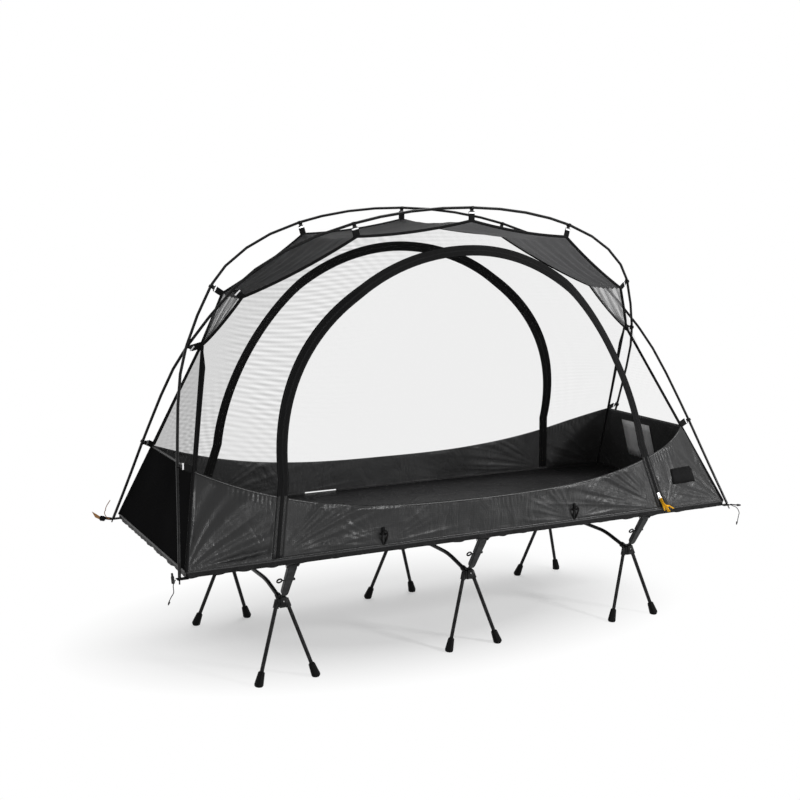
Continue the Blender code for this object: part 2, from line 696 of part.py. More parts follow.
def clip_mesh():
    """A C-shaped clip that snaps over the rail from below, with two ears for the lever's pin."""
    rail = Matrix.Translation((0, -RAIL_Y, RAIL_HEIGHT))
    pin = strut_frame() @ Matrix.Translation((0, 0, PIN_UP))
    neck = PIN_DROP - CLIP_INNER
    outline = arc(CLIP_EAR_ROUND, -math.pi, 0, 5) + [(CLIP_INNER, neck), (-CLIP_INNER, neck)]
    pieces = [cross_rod(CLIP_RADIUS, CLIP_LENGTH, rail, sides=CLIP_SIDES)]
    for _, end in ENDS:
        ear = pin @ Matrix.Translation((end * EAR_MIDDLE, 0, 0)) @ ACROSS
        pieces.append(plate([outline], CLIP_EAR, ear))
    high = CLIP_RADIUS + OVERRUN
    wide = high * math.tan(CLIP_MOUTH)
    mouth = plate([[(0, 0), (wide, high), (-wide, high)]], CLIP_LENGTH + OVERRUN, rail @ ACROSS)
    bores = [cross_bore(CLIP_INNER, CLIP_LENGTH + OVERRUN, rail, sides=CLIP_SIDES), mouth]
    bores.append(cross_bore(PIN_RADIUS + GAP, CLIP_LENGTH + OVERRUN, pin))
    return rounded(fused(pieces, bores))


def add_units(slope):
    """Hubs, levers and rail clips: the near ones, and the same turned about the upright axis."""
    hub = hub_mesh(slope)
    lever = lever_mesh()
    clip = clip_mesh()
    hinge = strut_frame() @ Matrix.Translation((0, 0, PIN_UP))
    for unit, place in UNITS:
        for name, side in SIDES:
            frame = unit_frame(place, side)
            add_piece("leg_hub_%s_%s" % (name, unit), hub, MOULDED, frame)
            add_piece("rail_clip_%s_%s" % (name, unit), clip, MOULDED, frame)
            add_piece("lever_%s_%s" % (name, unit), lever, LEVER_FINISH, frame @ hinge)


def arch_curve():
    """One pole in its own plane, from left to right: x, and height up the plane."""
    half = [Vector((out * POLE_SPAN / 2, up * POLE_RISE, 0)) for up, out in POLE_SHARES]
    left = [Vector((-point.x, point.y, 0)) for point in half]
    return smooth(left + half[-2::-1], POLE_STEPS)


def leaning(point, side, pass_by=0.0):
    """A point of the arch in space, on the pole that starts on this side."""
    out = pass_by * math.sin(math.pi * point.y / POLE_RISE) * math.copysign(1, point.x)
    y = side * (POLE_SPREAD / 2 - point.y * math.sin(POLE_LEAN))
    return Vector((point.x + out, y, TAB_Z + point.y * math.cos(POLE_LEAN)))


def lengths_along(curve):
    lengths = [0.0]
    for a, b in zip(curve, curve[1:]):
        lengths.append(lengths[-1] + (b - a).length)
    return lengths


def point_at(curve, lengths, distance):
    """The point at a distance along the curve."""
    distance = min(max(distance, 0), lengths[-1])
    for index in range(len(curve) - 1):
        if distance <= lengths[index + 1]:
            share = (distance - lengths[index]) / (lengths[index + 1] - lengths[index])
            return curve[index].lerp(curve[index + 1], share)
    return curve[-1]


def from_top(curve, lengths, axis, value):
    """Distance from the arch's top to where its right half reaches a value of x or of height."""
    middle = len(curve) // 2
    for index in range(middle, len(curve) - 1):
        a, b = curve[index][axis], curve[index + 1][axis]
        if a != b and (a - value) * (b - value) <= 0:
            share = (value - a) / (b - a)
            here = lengths[index] + share * (lengths[index + 1] - lengths[index])
            return here - lengths[middle]
    raise ValueError("the pole does not reach this place")


class Arch:
    """The poles' arch, the places of its hooks, and the tent's corners that hang from them."""

    def __init__(self):
        self.curve = arch_curve()
        self.lengths = lengths_along(self.curve)
        self.middle = self.lengths[-1] / 2
        half = POLE_SPAN / 2
        crossing = POLE_SPREAD / 2 / math.sin(POLE_LEAN)
        self.crossing = from_top(self.curve, self.lengths, 1, crossing)
        self.low = from_top(self.curve, self.lengths, 1, LOW_TIE_SHARE * POLE_RISE)
        self.roof = [from_top(self.curve, self.lengths, 0, share * half) for share in ROOF_TIE_SHARES]
        self.corners = [self.corner(distance) for distance in reversed(self.roof)]
        self.corners.append(self.corner(self.crossing) + Vector((0, TAPE_RADIUS + GAP, 0)))
        self.point = self.corners[-1]
        self.top_lengths = lengths_along(self.corners)

    def at(self, distance, side, pass_by=0.0):
        return leaning(point_at(self.curve, self.lengths, distance), side, pass_by)

    def corner(self, distance):
        """Tent corner on the right half, a strap's length inside the pole; y is its distance out."""
        here = self.at(self.middle + distance, -1)
        step = HOOK_WIDTH
        run = self.at(self.middle + distance + step, -1) - self.at(self.middle + distance - step, -1)
        inward = Vector((run.z, 0, -run.x)).normalized()
        return Vector((here.x, abs(here.y), here.z)) + inward * STRAP_LENGTH

    def hook_distances(self):
        places = [self.low, self.crossing + CROSSING_SLIP] + self.roof
        return sorted({self.middle + turn * place for place in places for turn in (-1, 1)})

    def stations(self):
        """Distances of the pole's points: even, with one straight stretch at each hook."""
        hooks = self.hook_distances()
        count = 2 * POLE_SEGMENTS
        even = [self.lengths[-1] * step / count for step in range(count + 1)]
        kept = [s for s in even if all(abs(s - hook) > 3 * HOOK_WIDTH for hook in hooks)]
        return sorted(kept + [hook + turn * HOOK_WIDTH for hook in hooks for turn in (-1, 1)])

    def hook(self, distance, side, pass_by):
        """Middle and direction of the pole's straight stretch at a hook."""
        a = self.at(distance - HOOK_WIDTH, side, pass_by)
        b = self.at(distance + HOOK_WIDTH, side, pass_by)
        return (a + b) / 2, (b - a).normalized()

    def ridge(self, share):
        """A point of the right end's seam: from the base corner to the roof's point; y is positive."""
        return Vector((BASE_X, BASE_Y, FLOOR_MIDDLE)).lerp(self.point, share)

    def ridge_share(self, z):
        return (z - FLOOR_MIDDLE) / (self.point.z - FLOOR_MIDDLE)

    def side_depth(self, x, z):
        """How far out the side stands at x, z: straight rulings from the base line to the top."""
        low, high = 0.0, 1.0
        for _ in range(40):
            share = (low + high) / 2
            top = point_at(self.corners, self.top_lengths, share * self.top_lengths[-1])
            rise = (z - FLOOR_MIDDLE) / (top.z - FLOOR_MIDDLE)
            here = Vector((share * BASE_X, BASE_Y, FLOOR_MIDDLE)).lerp(top, rise) if rise <= 1 else None
            if here is None:
                here = Vector((share * BASE_X, BASE_Y, FLOOR_MIDDLE)) * (1 - rise) + top * rise
            if here.x < abs(x):
                low = share
            else:
                high = share
        return here.y

    def side_point(self, x, z, side):
        return Vector((x, side * self.side_depth(x, z), z))

    def wall_top(self, x):
        """Height of the dark wall's top edge."""
        low = self.ridge(self.ridge_share(WALL_END_Z)).x
        return WALL_MIDDLE_Z + (WALL_END_Z - WALL_MIDDLE_Z) * (abs(x) / low) ** WALL_CURVE

    def roof_edge(self, side):
        """The roof's edge from its left point to its right one, drawn up a little between the ties."""
        half = []
        for start, end, steps in zip(self.corners, self.corners[1:], ROOF_STEPS):
            sag = SCALLOP * min((end - start).length / (self.corners[1] - self.corners[0]).length, 1)
            for step in range(steps):
                share = step / steps
                here = start.lerp(end, share)
                z = here.z - sag * 4 * share * (1 - share)
                half.append(self.side_point(here.x, z, side) if share else here)
        half.append(self.point)
        edge = [Vector((point.x, side * abs(point.y), point.z)) for point in half]
        return [Vector((-point.x, point.y, point.z)) for point in reversed(edge[1:])] + edge


def add_poles(arch):
    """Two arched poles; each end is a pin that stands in a corner tab's grommet."""
    for name, side in SIDES:
        pass_by = -side * POLE_PASS / 2
        points = [arch.at(distance, side, pass_by) for distance in arch.stations()]
        rising = (points[1] - points[0]).normalized()
        tilt = rising.angle(Vector((0, 0, 1)))
        shoulder = (POLE_RADIUS * math.sin(tilt) + TAB_THICKNESS / 2 + 2 * GAP) / math.cos(tilt)
        mirror = Vector((-1, 1, 1))
        start = [points[0] + rising * distance for distance in (shoulder - POLE_PIN, shoulder - GAP, shoulder)]
        end = [point * mirror for point in reversed(start)]
        pin = POLE_PIN_RADIUS / POLE_RADIUS
        radii = [pin, pin] + [1] * len(points) + [pin, pin]
        mesh = tube(start + points[1:-1] + end, POLE_RADIUS, 2, radii)
        add_piece("tent_pole_" + name, rounded(mesh), ANODISED)


def seam_line(arch, side):
    """The seam round one side: up its left ridge, along the roof's edge and down its right ridge."""
    foot = arch.ridge(RIDGE_START / (arch.point.z - FLOOR_MIDDLE)) * Vector((1, side, 1))
    return [foot * Vector((-1, 1, 1))] + arch.roof_edge(side) + [foot]


def knots(arch, radius):
    """A ball at each end of the roof, where the two sides' seams meet."""
    middle = Vector((arch.point.x, 0, arch.point.z))
    return [ball(radius, Matrix.Translation(middle * Vector((end, 1, 1)))) for _, end in ENDS]


def seam_cutters(arch):
    """Cutters that keep the panels clear of the near seam, the far seam and the knots."""
    return [tube(seam_line(arch, side), TAPE_RADIUS + GAP, 1) for _, side in SIDES] \
        + knots(arch, KNOT_RADIUS + GAP)


def hook_pieces(arch, distance, side, corner, spread):
    """A C-shaped hook on the pole, its lug, and the strap from the lug to a corner of the tent."""
    pass_by = -side * POLE_PASS / 2
    middle, run = arch.hook(distance, side, pass_by)
    pull = corner - middle
    square = (pull - run * pull.dot(run)).normalized()
    inner = bored(POLE_RADIUS + GAP, HOOK_STEPS, math.tau - 2 * HOOK_MOUTH)
    first, last = math.pi / 2 + HOOK_MOUTH, math.pi * 2.5 - HOOK_MOUTH
    outline = arc(inner + HOOK_WALL, first, last, HOOK_STEPS) + arc(inner, last, first, HOOK_STEPS)
    pieces = [plate([outline], HOOK_WIDTH, along(middle, run, square))]
    start = inner + HOOK_WALL / 2
    lug = along(middle + square * (start + HOOK_LUG / 2), square, run)
    pieces.append(box((HOOK_WIDTH - GAP, HOOK_WALL, HOOK_LUG), lug))
    end = middle + square * (start + HOOK_LUG * 2 / 3)
    strap = corner - end
    frame = along(end + strap / 2, strap, spread)
    pieces.append(box((STRAP_WIDTH, STRAP_THICKNESS, strap.length), frame))
    return pieces


def add_harness(arch):
    """Seam tapes along the ridges and the roof's edges, with every strap and hook, in one body."""
    pieces = [tube(seam_line(arch, side), TAPE_RADIUS, 1) for _, side in SIDES]
    pieces += knots(arch, KNOT_RADIUS)
    knot = Vector((arch.point.x, 0, arch.point.z))
    for _, side in SIDES:
        for end in (-1, 1):
            turn = Vector((end, 1, 1))
            place = arch.middle + end * arch.low
            middle, _ = arch.hook(place, side, 0)
            low = arch.ridge(arch.ridge_share(middle.z - STRAP_LENGTH / 3)) * Vector((end, side, 1))
            ridge = (arch.point - arch.ridge(0)) * Vector((end, side, 1))
            pieces += hook_pieces(arch, place, side, low, ridge)
            if side > 0:
                place = arch.middle + end * (arch.crossing + CROSSING_SLIP)
                pieces += hook_pieces(arch, place, side, knot * turn, Vector((0, 0, 1)))
        for index, distance in enumerate(arch.roof):
            for end in (-1, 1) if distance else (1,):
                corner = arch.corners[len(arch.roof) - 1 - index] * Vector((end, -side, 1))
                pieces += hook_pieces(arch, arch.middle + end * distance, side, corner, Vector((1, 0, 0)))
    add_piece("seam_harness", fused(pieces), WEBBING)


def zip_line(offset):
    """The zip on a side as x and z, from its left foot over the arch to its right foot."""
    half = []
    for step in range(ARCH_STEPS + 1):
        turn = math.pi / 2 * (1 - step / ARCH_STEPS)
        out = Vector((math.cos(turn) / DOOR_HALF_WIDTH, math.sin(turn) / ARCH_RISE)).normalized()
        middle = Vector((DOOR_HALF_WIDTH * math.cos(turn), SPRING_Z + ARCH_RISE * math.sin(turn)))
        half.append(middle + out * offset)
    leg = Vector((SPRING_Z - SILL_Z, DOOR_FLARE))
    foot = DOOR_HALF_WIDTH + DOOR_FLARE + offset * leg.length / leg.x
    half.append(Vector((foot, SILL_Z + EDGE_GAP)))
    return [Vector((-point.x, point.y)) for point in reversed(half[1:])] + half


def add_side(arch, name, side, cutters):
    """Door, zip band and net of one side of the tent."""
    inner = zip_line(-BAND_EDGE - EDGE_GAP)
    count = len(inner) - 1
    reach = inner[-1].x
    rows = []
    for row in range(ARCH_ROWS + 1):
        share = row / ARCH_ROWS
        feet = [Vector((reach * (2 * step / count - 1), inner[0].y)) for step in range(count + 1)]
        level = [foot.lerp(top, share) for foot, top in zip(feet, inner)]
        rows.append([arch.side_point(point.x, point.y, side) for point in level])
    hinge = arch.side_point(0, SILL_Z, side)
    door = cloth(rows, CLOTH)
    door.transform(Matrix.Translation(-hinge))
    add_piece("door_" + name, door, NET, Matrix.Translation(hinge))
    edges = [zip_line(offset) for offset in (-BAND_EDGE, BAND_EDGE)]
    rows = [[arch.side_point(point.x, point.y, side) for point in edge] for edge in edges]
    add_piece("zip_band_" + name, cloth(rows, BAND_THICKNESS), WEBBING)
    add_piece("side_net_" + name, net_mesh(arch, side, cutters), NET)


def net_mesh(arch, side, cutters):
    """Net between a door's arch and the seams round it, above the dark wall."""
    inner = zip_line(BAND_EDGE + EDGE_GAP)
    crossing = meeting(inner[-2], inner[-1], arch)
    inner = [Vector((-crossing.x, crossing.y))] + inner[1:-1] + [crossing]
    low = arch.ridge(arch.ridge_share(WALL_END_Z + WALL_SEAM))
    rise = [low.lerp(arch.point, step / RIDGE_STEPS) for step in range(RIDGE_STEPS)]
    left = [Vector((-point.x, side * point.y, point.z)) for point in rise]
    right = [Vector((point.x, side * point.y, point.z)) for point in reversed(rise)]
    outer = left + arch.roof_edge(side) + right
    rows = []
    for row in range(NET_ROWS + 1):
        level = []
        for index, (near, far) in enumerate(zip(inner, outer)):
            run = Vector((far.x, far.z)) - near
            here = near + run * (row / NET_ROWS) * (1 - TAPE_RADIUS / 2 / run.length)
            if index in (0, len(inner) - 1):
                here.y = arch.wall_top(here.x) + WALL_SEAM
            level.append(arch.side_point(here.x, here.y, side))
        rows.append(level)
    return fused([cloth(rows, CLOTH)], cutters)


def meeting(start, end, arch):
    """Where a leg of the zip passes the wall's top edge."""
    low, high = 0.0, 1.0
    for _ in range(40):
        share = (low + high) / 2
        here = start.lerp(end, share)
        if here.y > arch.wall_top(here.x) + WALL_SEAM:
            low = share
        else:
            high = share
    return here


def add_tray(arch, cutters):
    """Tent floor and the dark walls sewn round it, open where the doors are."""
    rings = []
    foot = FLOOR_MIDDLE + FLOOR_CURL
    low = arch.ridge(arch.ridge_share(WALL_END_Z)).x
    for row in range(WALL_ROWS + 1):
        share = row / WALL_ROWS
        z = foot + (WALL_END - FLOOR_CURL) * share
        corner = arch.ridge(arch.ridge_share(z))
        side_line = []
        for step in range(SIDE_STEPS + 1):
            part = 2 * step / SIDE_STEPS - 1
            x = part * corner.x
            height = foot + (arch.wall_top(part * low) - foot) * share
            y = corner.y if abs(part) == 1 else arch.side_depth(x, height)
            side_line.append(Vector((x, -y, height)))
        end_line = []
        for step in range(1, END_STEPS):
            end_line.append(Vector((corner.x, corner.y * (2 * step / END_STEPS - 1), z)))
        turn = Vector((-1, -1, 1))
        half = side_line + end_line
        rings.append(half + [point * turn for point in half])
    count = len(rings[0])
    x, y = BASE_X - FLOOR_EDGE, BASE_Y - FLOOR_EDGE
    floor = [Vector((-x, -y, FLOOR_MIDDLE)), Vector((x, -y, FLOOR_MIDDLE))]
    floor += [point * turn for point in floor]
    points = [point for line in rings for point in line] + floor
    first = len(points) - len(floor)
    faces = [tuple(range(first, len(points)))[::-1]]
    corners = (0, SIDE_STEPS, count // 2, count // 2 + SIDE_STEPS, count)
    for index, (start, end) in enumerate(zip(corners, corners[1:])):
        strip = [first + index, first + (index + 1) % len(floor)]
        faces.append(tuple(strip + [step % count for step in range(end, start - 1, -1)]))
    for row in range(WALL_ROWS):
        for step in range(count):
            after = (step + 1) % count
            a, b = row * count + step, row * count + after
            faces.append((a, b, b + count, a + count))
    tray = thickened(points, faces, CLOTH)
    opening = zip_line(BAND_EDGE + EDGE_GAP)
    opening[0].y = SILL_Z
    opening[-1].y = SILL_Z
    doors = []
    for _, side in SIDES:
        place = Matrix.Translation((0, side * BASE_Y, 0)) @ FACING
        doors.append(plate([opening], BASE_Y, place))
    add_piece("floor_and_walls", fused([tray], doors + cutters), WALL_CLOTH)


def add_hem(arch):
    """Band that hangs over the rails, with a tab and a grommet hole at each corner."""
    outlines = []
    for offset in (BAND_THICKNESS / 2, -BAND_THICKNESS / 2):
        x, y = BASE_X + offset, BASE_Y + offset
        outlines.append([(x, y), (-x, y), (-x, -y), (x, -y)])
    tall = HEM_DROP + FLOOR_CURL
    middle = Matrix.Translation((0, 0, BED_TOP + FLOOR_CURL - tall / 2))
    pieces = [plate(outlines, tall, middle)]
    holes = []
    for _, end in ENDS:
        for _, side in SIDES:
            tip = Vector((end * POLE_SPAN / 2, side * POLE_SPREAD / 2, TAB_Z))
            root = Vector((end * BASE_X, side * BASE_Y, TAB_Z))
            run = tip - root
            turn = math.atan2(run.y, run.x)
            half = TAB_WIDTH / 2
            outline = [(-BAND_THICKNESS, half), (-BAND_THICKNESS, -half)]
            outline += arc(half, -math.pi / 2, math.pi / 2, 6, (run.length, 0))
            place = Matrix.Translation(root) @ Matrix.Rotation(turn, 4, "Z")
            pieces.append(plate([outline], TAB_THICKNESS, place))
            holes.append(bore(TAB_HOLE, TAB_THICKNESS + OVERRUN, Matrix.Translation(tip)))
    add_piece("hem_skirt", fused(pieces, holes), WEBBING)


def add_ends(arch, cutters):
    """The net above the dark wall at each end."""
    for name, end in ENDS:
        rows = []
        for share in (arch.ridge_share(WALL_END_Z + WALL_SEAM), 1 - TAPE_RADIUS / BASE_Y):
            corner = arch.ridge(share)
            y = corner.y - TAPE_RADIUS / 2
            rows.append([Vector((end * corner.x, -y, corner.z)), Vector((end * corner.x, y, corner.z))])
        mesh = fused([cloth(rows, CLOTH)], cutters)
        add_piece("end_net_" + name, mesh, NET)


def add_roof(arch, cutters):
    """Closed roof panel, stretched between its two edges."""
    near = arch.roof_edge(-1)
    far = arch.roof_edge(1)
    rows = []
    for a, b in zip(near, far):
        edge = TAPE_RADIUS / 2 / (b - a).length
        rows.append([a.lerp(b, edge + (1 - 2 * edge) * step / ROOF_ROWS) for step in range(ROOF_ROWS + 1)])
    add_piece("roof_panel", fused([cloth(rows, CLOTH)], cutters), ROOF_CLOTH)


def band_leg(arch, side, rise):
    """The right leg of a zip band: a point at a share of its rise, the way up and the way across."""
    edges = []
    for offset in (-BAND_EDGE, BAND_EDGE):
        top, foot = zip_line(offset)[-2:]
        edges.append((arch.side_point(foot.x, foot.y, side), arch.side_point(top.x, top.y, side)))
    (foot, top), (outer_foot, outer_top) = edges
    here, outer = foot.lerp(top, rise), outer_foot.lerp(outer_top, rise)
    return (here + outer) / 2, top + outer_top - foot - outer_foot, outer - here


def add_zip_pulls(arch):
    """A slider on the right leg of each zip, with a pull that hangs from its eye."""
    for name, side in SIDES:
        spot, climb, level = band_leg(arch, side, SLIDER_RISE / (SPRING_Z - SILL_Z))
        frame = along(spot, climb, level.cross(climb) * side)
        lift = BAND_THICKNESS / 2 + SLIDER_LIFT
        body = Matrix.Translation((lift + SLIDER_THICKNESS / 2, 0, 0))
        pieces = [box((SLIDER_THICKNESS, SLIDER_WIDTH, SLIDER_LENGTH), body, SLIDER_THICKNESS / 4)]
        eye = Matrix.Translation((lift + SLIDER_EYE, 0, PULL_WIDTH - SLIDER_LENGTH / 2))
        room = PULL_THICKNESS + 2 * GAP
        ear = (PULL_WIDTH + 4 * GAP, SLIDER_EAR, PULL_WIDTH)
        for turn in (-1, 1):
            shift = Matrix.Translation((0, turn * (room + SLIDER_EAR) / 2, 0))
            pieces.append(box(ear, eye @ shift))
        upright = Matrix.Rotation(math.pi / 2, 4, "X")
        pieces.append(rod(PULL_PIN_RADIUS, room + SLIDER_EAR, eye @ upright))
        slider = fused(pieces)
        hook = frame @ eye
        slider.transform(eye.inverted())
        add_piece("zip_slider_" + name, slider, METAL, hook)
        head = PULL_WIDTH / 2
        outline = arc(head, 0, math.pi, 6) + arc(head, -math.pi, 0, 6, (0, -PULL_LENGTH))
        hole = ring(bored(PULL_PIN_RADIUS + GAP, ROD_SIDES), ROD_SIDES)
        flat = Matrix(((1, 0, 0), (0, 0, -1), (0, 1, 0))).to_4x4()
        pull = plate([outline, hole], PULL_THICKNESS, flat)
        add_piece("zip_pull_" + name, pull, PULL_CORD, hook)


def add_toggles(arch):
    """Toggles on the near door's outer face, which hold it when it is rolled."""
    for (name, _), x in zip(ENDS, TOGGLE_PLACES):
        low = arch.side_point(x, SILL_Z + TOGGLE_RISE, -1)
        high = arch.side_point(x, SILL_Z + TOGGLE_RISE + TOGGLE_LOOP, -1)
        frame = along(low, high - low, Vector((0, 1, 0)))
        lift = CLOTH / 2 + GAP + TOGGLE_RADIUS
        bar = Matrix.Translation((lift, 0, 0)) @ Matrix.Rotation(math.pi / 2, 4, "X")
        pieces = [rod(TOGGLE_RADIUS, TOGGLE_LENGTH, frame @ bar)]
        tape = Matrix.Translation((lift, 0, TOGGLE_LOOP / 2))
        pieces.append(box((2 * BAND_THICKNESS, TOGGLE_TAPE, TOGGLE_LOOP), frame @ tape))
        add_piece("door_toggle_" + name, fused(pieces), WEBBING)


def add_cords():
    """A thin cord's free end at three of the corner tabs."""
    for name, end, side, steps in CORNER_CORDS:
        rim = POLE_SPAN / 2 + TAB_WIDTH / 2 + CORD_START
        points = [Vector((end * rim, side * POLE_SPREAD / 2, TAB_Z))]
        for out, across, up in steps:
            points.append(points[-1] + Vector((end * out, side * across, up)))
        mesh = tube(smooth(points, CORD_STEPS), CORD_RADIUS, 1)
        add_piece("corner_cord_" + name, rounded(mesh), CORD)


def add_tent():
    arch = Arch()
    add_poles(arch)
    add_harness(arch)
    cutters = seam_cutters(arch)
    for name, side in SIDES:
        add_side(arch, name, side, cutters)
    add_tray(arch, cutters)
    add_hem(arch)
    add_ends(arch, cutters)
    add_roof(arch, cutters)
    add_zip_pulls(arch)
    add_toggles(arch)
    add_cords()


def build():
    clear_scene()
    add_collection(NAME)
    add_collection("cutters")
    add_rails()
    add_bed_sheet()
    add_units(add_bows())
    add_legs()
    add_tent()


build()
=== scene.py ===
"""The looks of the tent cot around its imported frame: cloth, nets, tapes, cords, finishes, floor and light."""
import math

import bmesh
import bpy
import numpy as np
from mathutils import Matrix, Vector


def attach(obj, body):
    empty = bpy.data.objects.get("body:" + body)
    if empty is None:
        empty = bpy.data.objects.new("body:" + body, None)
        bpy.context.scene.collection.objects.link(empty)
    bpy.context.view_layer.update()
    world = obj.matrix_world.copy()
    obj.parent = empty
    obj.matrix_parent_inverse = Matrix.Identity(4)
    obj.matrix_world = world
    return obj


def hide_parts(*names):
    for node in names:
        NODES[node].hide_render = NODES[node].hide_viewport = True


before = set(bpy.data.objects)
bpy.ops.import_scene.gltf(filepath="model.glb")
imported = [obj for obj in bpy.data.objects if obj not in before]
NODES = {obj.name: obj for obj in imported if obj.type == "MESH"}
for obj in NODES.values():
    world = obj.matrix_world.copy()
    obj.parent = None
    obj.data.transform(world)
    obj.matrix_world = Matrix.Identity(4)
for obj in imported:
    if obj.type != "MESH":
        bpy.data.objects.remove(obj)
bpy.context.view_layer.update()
ROOT = "cot_and_tent"
SIDES = (("near", -1), ("far", 1))
ENDS = (("left", -1), ("right", 1))

# Camera, fitted to the photograph
CAMERA_TARGET = (-0.1192, 0.0, 0.7564)
CAMERA_AZIMUTH = math.radians(-27.649)
CAMERA_ELEVATION = math.radians(8.851)
CAMERA_ROLL = math.radians(0.551)
CAMERA_DISTANCE = 3.8269
CAMERA_LENS = 53.28
CAMERA_SENSOR = 36

# The tent's lines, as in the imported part
BASE_X = 0.950
BASE_Y = 0.353
FLOOR_Z = 0.3882
SILL_Z = 0.3942
SPRING_Z = 0.6002
WALL_MIDDLE_Z = 0.4972
WALL_END_Z = 0.6332
WALL_CURVE = 2.85
LEG_WALL_Z = 0.5575             # top of the wall at the zip's legs
TOP = np.array([
    (0, 0.229, 1.3324),
    (0.3714, 0.1995, 1.2836),
    (0.6856, 0.0878, 1.1067),
    (0.7809, 0.0043, 0.9629),
])
POINT = TOP[-1]
DOOR_HALF_WIDTH = 0.640
DOOR_FLARE = 0.046
ARCH_RISE = 0.643
ZIP_BAND = 0.032
ZIP_EDGE = ZIP_BAND / 2
ZIP_STEPS = 40
SCALLOP = 0.009

# The cot's places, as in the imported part
BED_TOP = 0.3875
BED_HALF_LENGTH = 0.93
RAIL_Y = 0.340
RAIL_Z = 0.378
UNITS = (-0.632, 0.0, 0.632)
HUB_RIVET = (0.2638, 0.2345)    # from the middle, above the ground
LEVER_PIN = (0.3293, 0.3611)
LEVER_HALF_WIDTH = 0.0185
RIVET_RADIUS = 0.0026
LATCH = (0.2961, 0.3087)
LATCH_RING = (0.0074, 0.0024)   # radius and wall
LATCH_RING_X = 0.0265
LATCH_COLLARS = ((0.0150, 0.0052), (0.0200, 0.0044))
COLLAR_LENGTH = 0.0028
TAB_Z = 0.3735
TAB = (0.962, 0.3550)
TAB_SIZE = (0.032, 0.022, 0.002)
CORD_START = (0.9806, 0.3565)

# Cloth and tapes
CLOTH = 0.0004
HEM = 0.0012
HEM_DROP = 0.0150
HEM_STEP = 0.005
HEM_WAVES = (0.036, 0.071)      # lengths of its fine and its slow waves
HEM_FOLD = 0.088
PIPING_RADIUS = 0.0026
BED_CLOTH = 0.0010
SLEEVE_RADIUS = 0.0095
SLIT = (-0.303, -0.185)         # where the far wall hangs free of the floor
EDGE_TAPE_ROWS = (-0.006, -0.003, 0.001)
EDGE_TAPE_PROUD = 0.0007
# Width by side and end
RIDGE_TAPES = {(-1, -1): 0.008, (1, -1): 0.010, (-1, 1): 0.008, (1, 1): 0.0035}
RIDGE_TAPE_PROUD = 0.0012
RIDGE_TAPE = 0.0008
SEAM_RADIUS = 0.0046
ZIP_TAPE = 0.0006
ZIP_BULGE = 0.0010
ROOF_SAG = 0.010
NEAR_PATCH = ((0.749, 0.850), (0.461, 0.510))   # x and z on the near wall
END_PATCH = ((-0.028, 0.128), (0.466, 0.602))   # y and z inside the right end wall
DARK_PATCH = 0.0008
PALE_PATCH = 0.0006
PATCH_PROUD = 0.0034

# Ribbons on each zip pull: points as x, z and distance off the side, and width
PULL_RIBBONS = (
    (((0.6800, 0.4240, 0.007), (0.6850, 0.4080, 0.010),
      (0.6960, 0.3930, 0.013), (0.7010, 0.3830, 0.014)), 0.0125),
    (((0.6900, 0.4010, 0.012), (0.7060, 0.3990, 0.015), (0.7200, 0.3900, 0.016)), 0.0070),
)
RIBBON = 0.0016
TOGGLES = (-0.352, 0.330)
TOGGLE_LOOP = (0.0075, 0.0210)  # half its width and half its height
TOGGLE_RADIUS = 0.0026

# Ties on the right half of each pole: place on the near pole, place on the far pole,
# direction of the near pole there, and corner of the tent
HOOKS = (
    ((0.9212, -0.1955, 0.6479), (0.9122, 0.1955, 0.6479), (0.1685, -0.4988, -0.8502),
     (0.8774, 0.2033, 0.6349)),
    ((0.7203, 0.0878, 1.1307), (0.7122, -0.0878, 1.1307), (0.5663, -0.4171, -0.7109), TOP[2]),
    ((0.3828, 0.1995, 1.3211), (0.3810, -0.1995, 1.3211), (0.9521, -0.1548, -0.2639), TOP[1]),
    ((0.0, 0.2290, 1.3714), (0.0, -0.2290, 1.3714), (1.0, 0.0, 0.0), TOP[0]),
)
CROSSING_PLACE = (0.8205, 0.012, 0.9607)
CROSSING_RUN = (0.408, 0.462, -0.7874)
CROSSING_CORNER = (POINT[0], 0.0, POINT[2])
HOOK_INNER = 0.0047
HOOK_OUTER = 0.0073
HOOK_HALF_WIDTH = 0.0045
HOOK_MOUTH = math.radians(50)   # half the angle left open
HOOK_STEPS = 12
HOOK_LUG = (0.0125, 0.004, 0.008)
BUCKLE = (0.0062, 0.0040, 0.0210)
STRAP = 0.0034
STRAP_WIDTH = 0.021

# Corner cords: name, end, side, and steps outwards, across and up from the corner
CORD_RADIUS = 0.00125
CORNER_CORDS = (
    ("near_left", -1, -1, ((0.006, 0.002, -0.008), (0.002, 0.001, -0.010), (-0.0005, 0.001, -0.016),
                           (0.008, 0, -0.013), (0.008, 0.002, -0.015))),
    ("near_right", 1, -1, ((0.0065, 0.004, -0.004), (0.017, 0.004, -0.008), (0.011, 0.002, -0.017),
                           (-0.002, 0, -0.014), (-0.005, 0, -0.025))),
    ("far_left", -1, 1, ((0.0075, 0.004, 0.004), (0.0073, 0.002, 0.0145), (-0.0033, 0, 0.0115),
                         (-0.003, -0.001, 0.0117), (-0.012, -0.003, 0.0198))),
)
# Cord locks: start, direction, radius, length
CORD_LOCKS = (
    ((-0.9875, -0.3572, 0.3640), (-0.10, 0.05, 1.0), 0.0048, 0.029),
    ((1.0060, -0.3640, 0.3700), (0.93, -0.20, -0.06), 0.0040, 0.014),
    ((1.0084, -0.3665, 0.3120), (-0.25, 0.0, -1.0), 0.0028, 0.011),
    ((-1.0005, -0.3625, 0.3170), (-0.45, -0.10, -1.0), 0.0026, 0.010),
)

